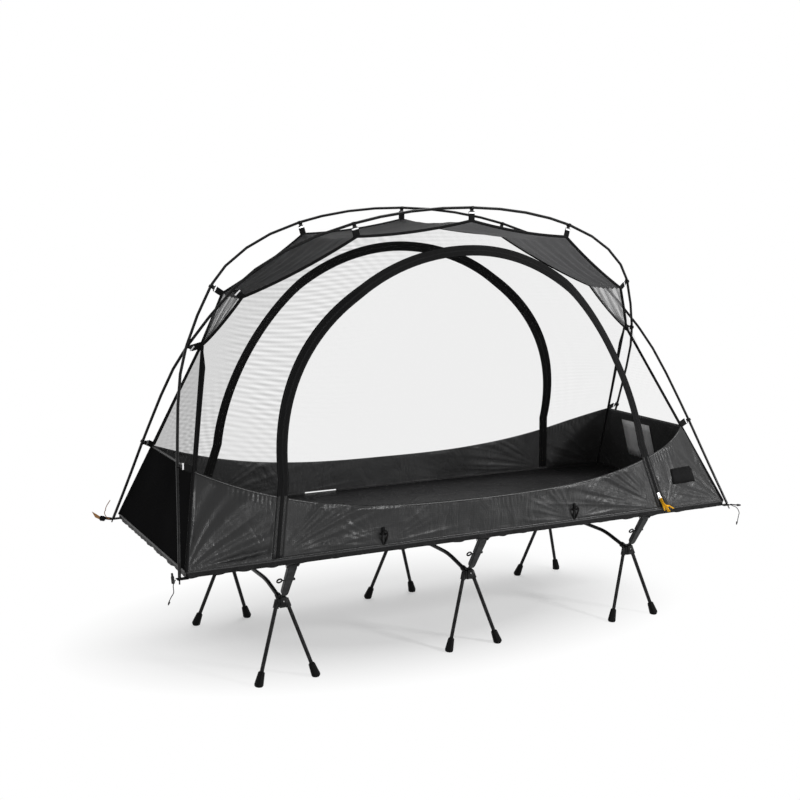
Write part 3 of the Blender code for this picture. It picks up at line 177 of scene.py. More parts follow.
# Strap at the far left corner, with its pad and tip, and the strap to the near right cord lock
STRAP_END = (-0.976, 0.3585, TAB_Z)
STRAP_END_RUN = (-0.88, 0.46, 0.10)
STRAP_END_SIZE = (0.009, 0.0030, 0.030)
STRAP_PAD_SIZE = (0.017, 0.0060, 0.018)
STRAP_TIP = ((-0.004, 0.0), (0.006, 0.001), (0.001, 0.015), (-0.017, 0.027))
STRAP_TIP_HALF = 0.0011
LOCK_STRAP = (0.9806, -0.3570, TAB_Z)
LOCK_STRAP_SIZE = (0.0040, 0.0016)

# Finishes, from the photograph
BLACK = (0.004, 0.004, 0.0042)
WALL = (0.0085, 0.0086, 0.0089)
# The wall cloth seen from inside, painted lighter than WALL to stand in for light inside the tent
INNER_WALL_PAINTED_LIGHTER = (0.052, 0.0522, 0.0530)
ROOF = (0.013, 0.0132, 0.0135)
NET = (0.030, 0.030, 0.029)
COIL = (0.014, 0.014, 0.0145)
WAVE_BANDS = 3.14               # bands in a metre of a wave texture at a scale of 1
WEAVE_DEPTH = 0.00004
RIP_DEPTH = 0.00015
RIB_DEPTH = 0.00012
NET_MESH = 0.0018
NET_GLOW = 0.3
ZIP_TOOTH = 0.0017
FOOT_TOP = 0.0422

# Light
FLOOR_GREY = 0.90
FLOOR_GLOW = 0.40
FLOOR_PATCH = (-0.02, 0.16, 0.0)
FLOOR_PATCH_SHARE = (0.55, 1.0, 1.0)
FLOOR_PATCH_RUN = (0.31, 0.65)
SOFT_LEFT = 0.30
SOFT_RIGHT = 0.62
# Name, place, target, size, power
LIGHTS = (
    ("key", (2.3, -3.2, 2.5), (0.1, 0, 0.4), (0.6, 0.6), 92),
    ("low", (3.0, -3.0, 0.9), (0.2, 0, 0.5), (0.6, 1.2), 13),
    ("front", (-0.7, -3.9, 1.0), (-0.6, 0, 0.5), (0.4, 1.4), 16),
    ("top", (1.2, 1.0, 3.6), (0.2, 0, 0.4), (2.2, 2.2), 62),
)
MATERIALS = {}


# Shapes

def travel_along(line):
    """Length along a line of points, at each of them."""
    return np.concatenate([[0], np.cumsum(np.linalg.norm(np.diff(line, axis=0), axis=1))])


def top_at(share):
    """Point of the tent's top line on the right half, at a share of its length."""
    travel = travel_along(TOP)
    return np.stack([np.interp(share, travel / travel[-1], TOP[:, axis]) for axis in range(3)], axis=-1)


def side_depth(x, z):
    """How far out the tent's side stands at x, z: straight rulings from its base line to its top."""
    x = np.abs(np.asarray(x, float))
    z = np.asarray(z, float)
    low, high = np.zeros(np.broadcast(x, z).shape), np.ones(np.broadcast(x, z).shape)
    for _ in range(40):
        share = (low + high) / 2
        top = top_at(share)
        rise = (z - FLOOR_Z) / (top[..., 2] - FLOOR_Z)
        here = share * BASE_X * (1 - rise) + top[..., 0] * rise
        low = np.where(here < x, share, low)
        high = np.where(here < x, high, share)
    return BASE_Y * (1 - rise) + top[..., 1] * rise


def side_points(x, z, side):
    x, z = np.broadcast_arrays(np.asarray(x, float), np.asarray(z, float))
    return np.stack([x, side * side_depth(x, z), z], axis=-1)


def ridge_x(z):
    return BASE_X + (POINT[0] - BASE_X) * (np.asarray(z, float) - FLOOR_Z) / (POINT[2] - FLOOR_Z)


def ridge_at(z, end, side):
    """Point of a corner ridge at a height."""
    start = np.array((BASE_X, BASE_Y, FLOOR_Z))
    share = np.asarray((z - FLOOR_Z) / (POINT[2] - FLOOR_Z), float)
    return (start + (POINT - start) * share[..., None]) * (end, side, 1)


def end_row(z, end, columns, out=0.0):
    """A row of points across an end of the tent."""
    corner = ridge_at(z, end, 1)
    y = np.linspace(-corner[1], corner[1], columns)
    return np.stack([np.full(columns, corner[0] + end * out), y, np.full(columns, z)], axis=-1)


def wall_top(x):
    low = ridge_x(WALL_END_Z)
    return WALL_MIDDLE_Z + (WALL_END_Z - WALL_MIDDLE_Z) * np.minimum(np.abs(x) / low, 1) ** WALL_CURVE


def leg_stretch():
    """How much wider a band across the zip's leaning leg measures along x."""
    return math.hypot(SPRING_Z - SILL_Z, DOOR_FLARE) / (SPRING_Z - SILL_Z)


def leg_x(z, offset):
    """x of a zip's straight leg at a height."""
    share = (SPRING_Z - np.asarray(z, float)) / (SPRING_Z - SILL_Z)
    return DOOR_HALF_WIDTH + DOOR_FLARE * share + offset * (1 + (leg_stretch() - 1) * share)


def zip_line(offset):
    """A line at one offset from the zip's middle, from left to right, as x and z."""
    turn = np.pi / 2 * (1 - np.arange(ZIP_STEPS + 1) / ZIP_STEPS)
    out = np.stack([np.cos(turn) / DOOR_HALF_WIDTH, np.sin(turn) / ARCH_RISE], axis=-1)
    out /= np.linalg.norm(out, axis=-1, keepdims=True)
    middle = np.stack([DOOR_HALF_WIDTH * np.cos(turn), SPRING_Z + ARCH_RISE * np.sin(turn)], axis=-1)
    foot = np.array((DOOR_HALF_WIDTH + DOOR_FLARE + offset * leg_stretch(), SILL_Z))
    arch = middle + out * offset
    share = np.linspace(0, 1, ZIP_STEPS // 2 + 1)[1:, None]
    half = np.concatenate([arch, arch[-1] * (1 - share) + foot * share])
    return np.concatenate([half[:0:-1] * (-1, 1), half])


def roof_edge(side, steps=10):
    """The roof's edge from left to right, pulled up a little between its ties."""
    half = []
    for start, end in zip(TOP, TOP[1:]):
        sag = SCALLOP * min(np.linalg.norm(end - start) / np.linalg.norm(TOP[1] - TOP[0]), 1)
        share = np.arange(steps) / steps
        here = start + (end - start) * share[:, None]
        here[:, 2] -= sag * 4 * share * (1 - share)
        half.append(here)
    half = np.concatenate(half + [TOP[-1:]])
    half[:, 1] = side_depth(half[:, 0], half[:, 2])
    half[:, 1] *= side
    return np.concatenate([half[:0:-1] * (-1, 1, 1), half])


# Pieces

def linked(name, data, mat=None):
    obj = bpy.data.objects.new(name, data)
    bpy.context.scene.collection.objects.link(obj)
    if mat:
        data.materials.append(MATERIALS[mat])
    return obj


def grid_piece(name, grid, mat, thickness=0.0):
    """A sheet through rows of points; its UVs are metres along its rows and its columns."""
    grid = np.asarray(grid, float)
    rows, cols = grid.shape[:2]
    mesh = bpy.data.meshes.new(name)
    index = np.arange(rows * cols).reshape(rows, cols)
    faces = np.stack([index[:-1, :-1], index[:-1, 1:], index[1:, 1:], index[1:, :-1]], axis=-1).reshape(-1, 4)
    mesh.from_pydata(grid.reshape(-1, 3).tolist(), [], faces.tolist())
    along, up = (np.cumsum(np.linalg.norm(np.diff(grid, axis=axis), axis=2), axis=axis) for axis in (1, 0))
    along = np.concatenate([np.zeros((rows, 1)), along], axis=1)
    along -= along[:, cols // 2][:, None]
    up = np.concatenate([np.zeros((1, cols)), up])
    uvs = np.stack([along, up], axis=-1).reshape(-1, 2)
    loops = np.zeros(len(mesh.loops), int)
    mesh.loops.foreach_get("vertex_index", loops)
    mesh.uv_layers.new(name="flat").data.foreach_set("uv", uvs[loops].astype(np.float32).ravel())
    obj = linked(name, mesh, mat)
    mesh.shade_smooth()
    if thickness:
        mod = obj.modifiers.new("Thickness", "SOLIDIFY")
        mod.thickness = thickness
        mod.offset = 0
    return obj


def curve_piece(name, points, radius, mat, cyclic=False):
    curve = bpy.data.curves.new(name, "CURVE")
    curve.dimensions = "3D"
    curve.bevel_depth = radius
    curve.bevel_resolution = 3
    curve.use_fill_caps = True
    spline = curve.splines.new("POLY")
    spline.points.add(len(points) - 1)
    for index, point in enumerate(points):
        spline.points[index].co = (*point, 1)
    spline.use_cyclic_u = cyclic
    spline.use_smooth = True
    return linked(name, curve, mat)


def mesh_piece(name, shape, mat, smooth=True):
    mesh = bpy.data.meshes.new(name)
    shape.to_mesh(mesh)
    shape.free()
    obj = linked(name, mesh, mat)
    if smooth:
        mesh.shade_smooth()
        mesh.set_sharp_from_angle(angle=math.radians(40))
    return obj


def fit(obj, body=ROOT, stands_for=None):
    """Hangs the piece on the empty of the body that it rides on, and hides the solid that it stands for."""
    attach(obj, body)
    if stands_for:
        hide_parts(stands_for)
    return obj


def declare(obj, with_pieces=()):
    """Measures the sheet's flat size along its own threads and its area, and does nothing more with them."""
    crimp = 1.002
    mesh = obj.data
    uvs = np.zeros(len(mesh.loops) * 2, np.float32)
    mesh.uv_layers[0].data.foreach_get("uv", uvs)
    uvs = uvs.reshape(-1, 2)
    size = uvs.max(0) - uvs.min(0)
    shape = bmesh.new()
    shape.from_mesh(mesh)
    area = sum(face.calc_area() for face in shape.faces)
    shape.free()
    flat = (round(float(size[0]) * crimp, 4), round(float(size[1]) * crimp, 4))
    area = min(area, flat[0] * flat[1])


def frame_along(start, direction, up):
    z = Vector(direction).normalized()
    y = Vector(up).cross(z).normalized()
    matrix = Matrix((y.cross(z), y, z)).transposed().to_4x4()
    matrix.translation = start
    return matrix


def edges_of(verts):
    return list(dict.fromkeys(edge for vert in verts for edge in vert.link_edges))


def add_box(shape, size, matrix, bevel):
    made = bmesh.ops.create_cube(shape, size=1)["verts"]
    bmesh.ops.scale(shape, vec=size, verts=made)
    faces = bmesh.ops.bevel(shape, geom=edges_of(made), offset=bevel, segments=2, affect="EDGES")["faces"]
    made = [vert for face in faces for vert in face.verts] + [vert for vert in made if vert.is_valid]
    bmesh.ops.transform(shape, matrix=matrix, verts=list(dict.fromkeys(made)))


def ribbon_shape(shape, line, width):
    """A flat ribbon along a line of points."""
    for a, b in zip(line, line[1:]):
        a, b = Vector(a), Vector(b)
        size = (RIBBON, width, (b - a).length + width * 0.4)
        add_box(shape, size, frame_along((a + b) / 2, b - a, (1, 0, 0)), 0.0006)


def lock_shape(shape, start, run, radius, length):
    """A barrel with a narrower push button on its end."""
    for size, low, high in ((radius, 0.0, length * 0.7), (radius * 0.66, length * 0.7, length)):
        place = frame_along(Vector(start) + Vector(run) * (low + high) / 2, run, (0.3, 0.4, 0.86))
        made = bmesh.ops.create_cone(shape, cap_ends=True, segments=14, radius1=size, radius2=size * 0.92,
                                     depth=high - low, matrix=place)["verts"]
        rims = [edge for edge in edges_of(made)
                if len(edge.link_faces) == 2 and edge.calc_face_angle(0) > 1.0]
        bmesh.ops.bevel(shape, geom=rims, offset=size * 0.18, segments=2, affect="EDGES")


def ring_shape(shape, place, radius, wall):
    """A round ring of round section."""
    loops = []
    for turn in np.linspace(0, math.tau, 25)[:-1]:
        loop = []
        for around in np.linspace(0, math.tau, 9)[:-1]:
            out = radius + wall * math.cos(around)
            point = Vector((out * math.cos(turn), out * math.sin(turn), wall * math.sin(around)))
            loop.append(shape.verts.new(place @ point))
        loops.append(loop)
    for a, b in zip(loops, loops[1:] + loops[:1]):
        for k in range(8):
            shape.faces.new((a[k], b[k], b[(k + 1) % 8], a[(k + 1) % 8]))


# Materials

def shade(color, by, lift=0.0):
    return [min(c * by + lift, 1) for c in color]


class Nodes:
    """A node tree of a material or a world, written one line per node."""

    def __init__(self, owner, output="Material"):
        owner.use_nodes = True
        self.tree = owner.node_tree
        self.tree.nodes.clear()
        self.out = self.tree.nodes.new("ShaderNodeOutput" + output)

    def add(self, kind, inputs=None, **settings):
        node = self.tree.nodes.new("ShaderNode" + kind)
        for key, value in settings.items():
            setattr(node, key, value)
        for key, value in (inputs or {}).items():
            socket = node.inputs[key]
            if isinstance(value, bpy.types.NodeSocket):
                self.tree.links.new(value, socket)
            else:
                socket.default_value = value
        return node

    def math(self, operation, a, b=0.0, clamp=False):
        return self.add("Math", {0: a, 1: b}, operation=operation, use_clamp=clamp).outputs[0]

    def plus(self, a, b, clamp=False):
        return self.math("ADD", a, b, clamp)

    def minus(self, a, b):
        return self.math("SUBTRACT", a, b)

    def times(self, a, b, clamp=False):
        return self.math("MULTIPLY", a, b, clamp)

    def larger(self, a, b):
        return self.math("MAXIMUM", a, b)

    def size(self, value):
        return self.math("ABSOLUTE", value)

    def near(self, value, target, within):
        return self.add("Math", {0: value, 1: target, 2: within}, operation="COMPARE").outputs[0]

    def mix(self, factor, a, b):
        node = self.add("Mix", {0: factor}, data_type="RGBA")
        for slot, value in ((6, a), (7, b)):
            if isinstance(value, bpy.types.NodeSocket):
                self.tree.links.new(value, node.inputs[slot])
            else:
                node.inputs[slot].default_value = (*value, 1)
        return node.outputs[2]

    def coords(self, kind):
        return self.add("TexCoord").outputs[kind]

    def scaled(self, vector, scale):
        return self.add("Mapping", {0: vector, 3: scale}).outputs[0]

    def part(self, vector, axis):
        return self.add("SeparateXYZ", {0: vector}).outputs["XYZ".index(axis)]

    def noise(self, vector, scale, detail=3.0, distortion=0.0):
        inputs = {"Vector": vector, "Scale": scale, "Detail": detail, "Distortion": distortion}
        return self.add("TexNoise", inputs).outputs["Fac"]

    def wave(self, vector, scale, axis="X", distortion=0.0, detail=0.0, curl=1.0):
        inputs = {"Vector": vector, "Scale": scale, "Distortion": distortion, "Detail": detail,
                  "Detail Scale": curl}
        return self.add("TexWave", inputs, bands_direction=axis).outputs["Fac"]

    def bands(self, vector, pitch, axis="X"):
        return self.wave(vector, 1 / pitch / WAVE_BANDS, axis)

    def ramp(self, value, low, high, start=0.0, stop=1.0):
        inputs = {0: value, 1: low, 2: high, 3: start, 4: stop}
        return self.add("MapRange", inputs, clamp=True).outputs[0]

    def bump(self, height, distance, strength=1.0, normal=None):
        inputs = {"Height": height, "Distance": distance, "Strength": strength}
        if normal is not None:
            inputs["Normal"] = normal
        return self.add("Bump", inputs).outputs[0]

    def surface(self, color, rough, spec, normal=None, metallic=0.0):
        inputs = {"Base Color": color, "Roughness": rough, "Specular IOR Level": spec, "Metallic": metallic}
        if normal is not None:
            inputs["Normal"] = normal
        return self.add("BsdfPrincipled", inputs).outputs[0]

    def blend(self, share, a, b):
        return self.add("MixShader", {0: share, 1: a, 2: b}).outputs[0]

    def seen(self):
        """1 for the rays that show the floor or the backdrop itself, and 0 for those that light things."""
        path = self.add("LightPath").outputs
        straight = self.larger(path["Is Camera Ray"], path["Is Glossy Ray"])
        return self.larger(straight, path["Is Transmission Ray"])

    def done(self, shader):
        self.tree.links.new(shader, self.out.inputs[0])


def material(name):
    MATERIALS[name] = bpy.data.materials.new(name)
    return Nodes(MATERIALS[name])


def cloth_material(name, color, rough, spec, creases=0.0016, crease_scale=14.0, weave=0.0016, rip=0.006,
                   glow=None):
    """Coated ripstop cloth: a fine weave, a grid of heavier threads, creases and slight stains in tone.

    glow is the colour of the light that comes through, and such cloth is thin and open towards its ends."""
    n = material(name)
    uv = n.coords("UV")
    space = n.coords("Object")
    threads = n.plus(n.bands(uv, weave, "X"), n.bands(uv, weave, "Y"))
    grid = n.larger(*(n.math("POWER", n.bands(uv, rip, axis), 8.0) for axis in "XY"))
    crease = n.noise(n.scaled(space, (1.0, 1.0, 0.55)), crease_scale, 4.0, 1.4)
    ripple = n.noise(n.scaled(space, (0.6, 1.0, 1.5)), crease_scale * 2.6, 3.0, 0.6)
    fold = n.plus(n.times(n.size(n.minus(crease, 0.5)), 2.0), n.times(ripple, 0.25))
    normal = n.bump(fold, creases)
    normal = n.bump(threads, WEAVE_DEPTH, 0.5, normal)
    normal = n.bump(grid, RIP_DEPTH, 0.6, normal)
    tone = n.ramp(n.noise(space, 5.0, 4.0), 0.3, 0.7)
    base = n.mix(tone, shade(color, 0.82), shade(color, 1.18))
    base = n.mix(n.times(grid, 0.22), base, shade(color, 2.2))
    fuzz = n.ramp(n.noise(space, 30.0, 2.0), 0.2, 0.8)
    shader = n.surface(base, n.plus(rough - 0.06, n.times(fuzz, 0.12)), spec, normal)
    if glow:
        through = n.add("BsdfTranslucent", {"Color": (*glow, 1)}).outputs[0]
        end = n.math("GREATER_THAN", n.size(n.part(space, "X")), TOP[2][0])
        streak = n.wave(n.scaled(space, (0.4, 1.0, 0.4)), 9.0, "Y", 5.0, 1.0, 0.4)
        thin = n.times(end, n.plus(0.34, n.times(streak, 0.34)), True)
        clear = n.add("BsdfTransparent").outputs[0]
        shader = n.blend(thin, n.blend(0.5, shader, through), clear)
    n.done(shader)


def net_material(name, density, moire, left=0.0):
    """Fine net: mostly open, with threads that a slow ripple of two layers gathers and spreads.

    left is how much more of the dark net covers towards the left end of the tent: painted shade on that side."""
    n = material(name)
    uv = n.coords("UV")
    space = n.coords("Object")
    slow = n.wave(n.scaled(space, (0.5, 1.0, 1.0)), 24.0, "Z", 26.0, 0.0, 0.11)
    fine = n.wave(n.scaled(space, (0.9, 1.0, 0.7)), 21.0, "DIAGONAL", 20.0, 0.0, 0.14)
    ripple = n.plus(n.times(slow, 0.6), n.times(fine, 0.4))
    # towards_left rises from 0 at x = 0.3 to 1 at x = -0.62: where the moire is stronger, and where painted
    # shade darkens the net
    towards_left = n.ramp(n.part(space, "X"), 0.3, -0.62)
    patch = n.times(n.ramp(n.noise(space, 3.2, 2.0), 0.35, 0.75), n.plus(towards_left, 0.15))
    share = n.times(n.minus(ripple, 0.5), n.times(patch, moire))
    # Painted shade: more dark cover towards the left end, which lies in shade
    share = n.plus(share, n.times(towards_left, left))
    threads = n.larger(n.bands(uv, NET_MESH, "X"), n.bands(uv, NET_MESH, "Y"))
    knots = n.times(n.minus(threads, 0.7), density * 0.8)
    cover = n.plus(n.plus(share, knots), density, True)
    tone = n.mix(n.noise(uv, 60.0, 2.0), shade(NET, 0.8), NET)
    matt = n.add("BsdfDiffuse", {"Color": tone, "Roughness": 0.6}).outputs[0]
    glow = n.add("BsdfTranslucent", {"Color": tone}).outputs[0]
    clear = n.add("BsdfTransparent").outputs[0]
    n.done(n.blend(cover, clear, n.blend(NET_GLOW, matt, glow)))


def edge_tape_material(name, color, thread):
    """Narrow bound edge with a row of light stitches."""
    n = material(name)
    uv = n.coords("UV")
    dash = n.math("GREATER_THAN", n.bands(uv, 0.0042), 0.4)
    row = n.near(n.part(uv, "Y"), 0.0035, 0.0010)
    n.done(n.surface(n.mix(n.times(n.times(row, dash), 0.9), color, thread), 0.5, 0.2))


def tape_material(name, color, rough, ribs=0.0012, zipper=False):
    """Woven tape with ribs across it; a zip tape has stitches near its edges and a coil down its middle.

    A zip tape is covered by flaps of the wall's cloth in its lower part."""
    n = material(name)
    uv = n.coords("UV")
    normal = n.bump(n.bands(uv, ribs), RIB_DEPTH, 0.7)
    base = n.mix(n.noise(uv, 90.0, 3.0), shade(color, 0.8), shade(color, 1.3))
    shine = 0.08
    if zipper:
        middle = n.size(n.minus(n.part(uv, "Y"), ZIP_EDGE))
        dash = n.math("GREATER_THAN", n.bands(uv, 0.003), 0.35)
        row = n.near(middle, ZIP_BAND * 0.41, 0.0006)
        base = n.mix(n.times(n.times(row, dash), 0.6), base, shade(color, 5, 0.02))
        normal = n.bump(n.times(row, -1.0), 0.0003, 1.0, normal)
        coil = n.ramp(middle, 0.0032, 0.0022)
        normal = n.bump(n.times(coil, n.plus(n.bands(uv, ZIP_TOOTH), 1.0)), 0.0005, 1.0, normal)
        base = n.mix(n.times(coil, 0.7), base, COIL)
        low = n.math("LESS_THAN", n.part(n.coords("Object"), "Z"), LEG_WALL_Z)
        flap = n.times(low, n.ramp(middle, 0.0052, 0.0066))
        base = n.mix(flap, base, shade(WALL, 0.8))
        shine = n.plus(0.06, n.times(flap, 0.12))
        rough = n.minus(rough, n.times(flap, 0.2))
    n.done(n.surface(base, rough, shine, normal))


def hard_material(name, color, rough, metallic=0.0, depth=0.00006, wear=0.35, foot=None):
    """Moulded plastic or coated tube: fine grain, edges rubbed lighter; foot gives a rubber end's colour."""
    n = material(name)
    space = n.coords("Object")
    grain = n.noise(space, 420.0, 2.0)
    worn = n.ramp(n.add("NewGeometry").outputs["Pointiness"], 0.52, 0.62)
    scuffed = n.times(worn, n.ramp(n.noise(space, 60.0, 3.0), 0.4, 0.65))
    base = n.mix(n.noise(space, 12.0, 3.0), shade(color, 0.8), shade(color, 1.25))
    base = n.mix(n.times(scuffed, wear), base, shade(color, 4, 0.05))
    roughness = n.plus(n.times(grain, 0.14), rough - 0.07)
    shine = 0.12
    if foot:
        rubber = n.math("LESS_THAN", n.part(space, "Z"), FOOT_TOP)
        base = n.mix(rubber, base, foot)
        roughness = n.plus(roughness, n.times(rubber, 0.30))
        shine = n.minus(shine, n.times(rubber, 0.06))
    n.done(n.surface(base, roughness, shine, n.bump(grain, depth, 0.6), metallic))


def add_materials():
    cloth_material("near_wall", WALL, 0.34, 0.34, creases=0.0034, crease_scale=9.0)
    # far_wall: inside faces of the wall cloth, painted lighter to stand in for light inside the tent
    cloth_material("far_wall", INNER_WALL_PAINTED_LIGHTER, 0.42, 0.20, creases=0.006, crease_scale=8.0)
    cloth_material("end_wall", (0.0100, 0.0100, 0.0103), 0.5, 0.0, creases=0.003)
    cloth_material("floor_cloth", (0.010, 0.010, 0.0105), 0.5, 0.15, creases=0.004)
    cloth_material("roof_cloth", ROOF, 0.5, 0.06, creases=0.004, crease_scale=8.0, glow=(0.42, 0.42, 0.425))
    cloth_material("bed_cloth", (0.006, 0.006, 0.0062), 0.65, 0.08, weave=0.0012, rip=0.0024, creases=0.001)
    cloth_material("hem_cloth", BLACK, 0.5, 0.14, weave=0.0012, rip=0.003, creases=0.003)
    # piping: the wall's cloth rolled over the edge, painted lighter than WALL as a highlight along its round
    # top
    cloth_material("piping", (0.020, 0.020, 0.0205), 0.4, 0.3, weave=0.0012, rip=0.003, creases=0.001)
    cloth_material("dark_patch", (0.0050, 0.0050, 0.0052), 0.6, 0.05, weave=0.001, rip=0.05, creases=0.0005)
    # pale_patch: the grey label's colour painted lighter, to stand in for the light it lacks inside the tent
    cloth_material("pale_patch", (0.80, 0.80, 0.80), 0.7, 0.1, weave=0.001, rip=0.05, creases=0.0005)
    net_material("net", 0.075, 0.012)
    # left: painted shade on the nets, darker towards the shaded left end
    net_material("side_net", 0.075, 0.34, left=0.11)
    net_material("end_net", 0.040, 0.34, left=0.36)
    edge_tape_material("edge_tape", (0.0055, 0.0055, 0.0058), (0.25, 0.25, 0.25))
    tape_material("zip_tape", BLACK, 0.6, zipper=True)
    tape_material("seam_tape", BLACK, 0.7)
    tape_material("strap", BLACK, 0.7, ribs=0.0014)
    tape_material("pull_cord", (0.80, 0.42, 0.02), 0.6)
    tape_material("cord", (0.008, 0.008, 0.008), 0.7)
    tape_material("tan_cord", (0.30, 0.13, 0.05), 0.7)
    hard_material("tan_leather", (0.42, 0.22, 0.09), 0.6, wear=0.1)
    hard_material("tube", BLACK, 0.26, depth=0.00002)
    hard_material("leg", BLACK, 0.28, foot=(0.006, 0.006, 0.006))
    hard_material("moulded", (0.005, 0.005, 0.0052), 0.42)
    hard_material("lever", (0.013, 0.0135, 0.014), 0.42)
    hard_material("lock", (0.008, 0.008, 0.0083), 0.4)
    hard_material("slider", (0.85, 0.85, 0.86), 0.24, 0.9, wear=0.0)
    hard_material("buckle", (0.75, 0.75, 0.76), 0.28, 0.8, wear=0.0)


# Solids that keep their own shape: start of their names, material, slot
PAINTED = (
    ("side_rail", "tube", "anodised"),
    ("cross_bow", "tube", "anodised"),
    ("tent_pole", "tube", "anodised"),
    ("leg_", "leg", "leg"),
    ("leg_hub", "moulded", "moulded"),
    ("rail_clip", "moulded", "moulded"),
    ("lever_", "lever", "lever"),
    ("zip_slider", "slider", "slider"),
    ("zip_pull", "pull_cord", "pull"),
    ("door_toggle", "strap", "webbing"),
)


def paint_frame():
    for prefix, mat, slot in PAINTED:
        for name, obj in NODES.items():
            if name.startswith(prefix):
                obj.data.materials.clear()
                obj.data.materials.append(MATERIALS[mat])


# Folds

def normals_of(grid):
    normal = np.cross(np.gradient(grid, axis=1), np.gradient(grid, axis=0))
    return normal / np.maximum(np.linalg.norm(normal, axis=-1, keepdims=True), 1e-9)


def fans(grid, corner, depth, reach, seed, count=12, turns=(0.05, 1.5), widths=(0.022, 0.055)):
    """Pulled folds that fan out from a corner, wider and deeper the further they run, up to their reach."""
    rng = np.random.default_rng(100 + seed)
    delta = grid - np.array(corner)
    radius = np.linalg.norm(delta, axis=-1)
    turn = np.arctan2(delta[..., 2], np.linalg.norm(delta[..., :2], axis=-1))
    lift = np.zeros(radius.shape)
    for spot in np.linspace(*turns, count) + rng.uniform(-0.05, 0.05, count):
        width = rng.uniform(*widths)
        bend = spot + 0.35 * (radius - 0.12) * rng.uniform(-1, 1)
        far = reach * rng.uniform(0.55, 1.2)
        lift += rng.uniform(0.35, 1.0) * np.exp(-((turn - bend) / width) ** 2) * np.exp(-(radius / far) ** 4)
    return lift * np.minimum(radius, reach * 0.6) * depth


def dents(grid, depth, size, seed, waves=14):
    """Smooth random dents, a sum of plane waves."""
    rng = np.random.default_rng(100 + seed)
    lift = np.zeros(grid.shape[:-1])
    for _ in range(waves):
        way = rng.normal(size=3)
        way /= np.linalg.norm(way)
        lift += np.sin(grid @ way * (2 * np.pi / (size * rng.uniform(0.5, 1.6))) + rng.uniform(0, 6.28))
    return lift / waves ** 0.5 * depth


def puckers(grid, depth, size=0.013, reach=0.028):
    """Short gathers that hang from the stitched top edge, the last row of the grid."""
    travel = travel_along(grid[-1])
    wave = np.sin(travel * 2 * np.pi / size + 2.2 * np.sin(travel * 31))
    wave *= 0.55 + 0.45 * np.sin(travel * 17 + 1)
    below = np.linalg.norm(grid - grid[-1], axis=-1)
    return depth * wave * np.exp(-(below / reach) ** 2)


def held_edges(grid, width=4):
    """1 inside the sheet, falling to 0 at its edges, where it is sewn."""
    rows, cols = grid.shape[:2]
    row = np.minimum(np.arange(rows), np.arange(rows)[::-1])[:, None] / width
    col = np.minimum(np.arange(cols), np.arange(cols)[::-1])[None, :] / width
    return np.minimum(np.minimum(row, 1), np.minimum(col, 1))


def pushed(grid, lift):
    return grid + normals_of(grid) * (lift * held_edges(grid))[..., None]


# Cloth

def wall_rows(side, low_x, high_x, columns, rows, low_z=FLOOR_Z):
    """Rows of points up a side wall between two lines x(z), from low_z to the wall's top edge."""
    across = np.linspace(0, 1, columns)
    top_x = low_x(WALL_END_Z) * (1 - across) + high_x(WALL_END_Z) * across
    for _ in range(8):
        top_z = wall_top(top_x)
        top_x = low_x(top_z) * (1 - across) + high_x(top_z) * across
    grid = []
    for row in np.linspace(0, 1, rows):
        z = low_z + (top_z - low_z) * row
        x = low_x(z) * (1 - across) + high_x(z) * across
        grid.append(side_points(x, z, side))
    return np.array(grid)


def wall_material(side):
    return "near_wall" if side < 0 else "far_wall"


def add_side_walls():
    made = []
    for name, side in SIDES:
        for end_name, end in ENDS:
            grid = wall_rows(side, lambda z: end * leg_x(z, ZIP_EDGE), lambda z: end * ridge_x(z), 96, 60)
            corner = (end * BASE_X, side * BASE_Y, FLOOR_Z)
            foot = (end * leg_x(SILL_Z, ZIP_EDGE), side * BASE_Y, FLOOR_Z)
            seed = side + 5 * end
            depth = 0.075 if end < 0 else 0.034
            lift = fans(grid, corner, depth, 0.34, 3 + seed, 7, (0.12, 1.42), (0.05, 0.085))
            lift += fans(grid, corner, 0.018, 0.30, 23 + seed, 9, (0.05, 1.3), (0.016, 0.03))
            lift += dents(grid, 0.0008, 0.09, 11 + end) + puckers(grid, 0.0016)
            lift += fans(grid, foot, 0.016, 0.18, 17 + seed, 6, (0.2, 1.2))
            obj = grid_piece("wall_%s_%s" % (name, end_name), pushed(grid, lift), wall_material(side), CLOTH)
            made.append(obj)
    return made


def add_sills():
    """The strip of wall under each door, with a narrow gap where the far one hangs free of the floor."""
    made = []
    edge = leg_x(SILL_Z, ZIP_EDGE)
    for name, side in SIDES:
        spans = [(-edge, edge)] if side < 0 else [(-edge, SLIT[0]), (SLIT[1], edge)]
        for index, (low, high) in enumerate(spans):
            x = np.linspace(low, high, 60)
            grid = [side_points(x, z, side) for z in np.linspace(FLOOR_Z, SILL_Z + 0.001, 3)]
            made.append(grid_piece("sill_%s_%d" % (name, index), grid, wall_material(side), CLOTH))
    return made


def add_end_walls():
    made = []
    for end_name, end in ENDS:
        grid = np.array([end_row(z, end, 60) for z in np.linspace(FLOOR_Z, WALL_END_Z, 30)])
        corner = (end * BASE_X, -BASE_Y, FLOOR_Z)
        lift = fans(grid, corner, 0.012, 0.34, 21 + end) + dents(grid, 0.0014, 0.11, 31 + end)
        # The right end wall is seen from inside and takes the painted-lighter far_wall cloth
        mat = "end_wall" if end < 0 else "far_wall"
        made.append(grid_piece("end_wall_" + end_name, pushed(grid, lift), mat, CLOTH))
    return made


def add_floor():
    x = np.linspace(-BASE_X, BASE_X, 120)
    y = np.linspace(-BASE_Y, BASE_Y, 50)
    grid = np.stack(np.broadcast_arrays(x[None, :], y[:, None], FLOOR_Z), axis=-1)
    lift = np.abs(dents(grid, 0.0012, 0.16, 5))
    return grid_piece("tent_floor", pushed(grid, lift), "floor_cloth", CLOTH)


def add_tray():
    walls, sills, floor = add_side_walls() + add_end_walls(), add_sills(), add_floor()
    for obj in walls + sills + [floor]:
        fit(obj, ROOT, "floor_and_walls")
    for obj in walls:
        declare(obj)
    declare(floor, sills)


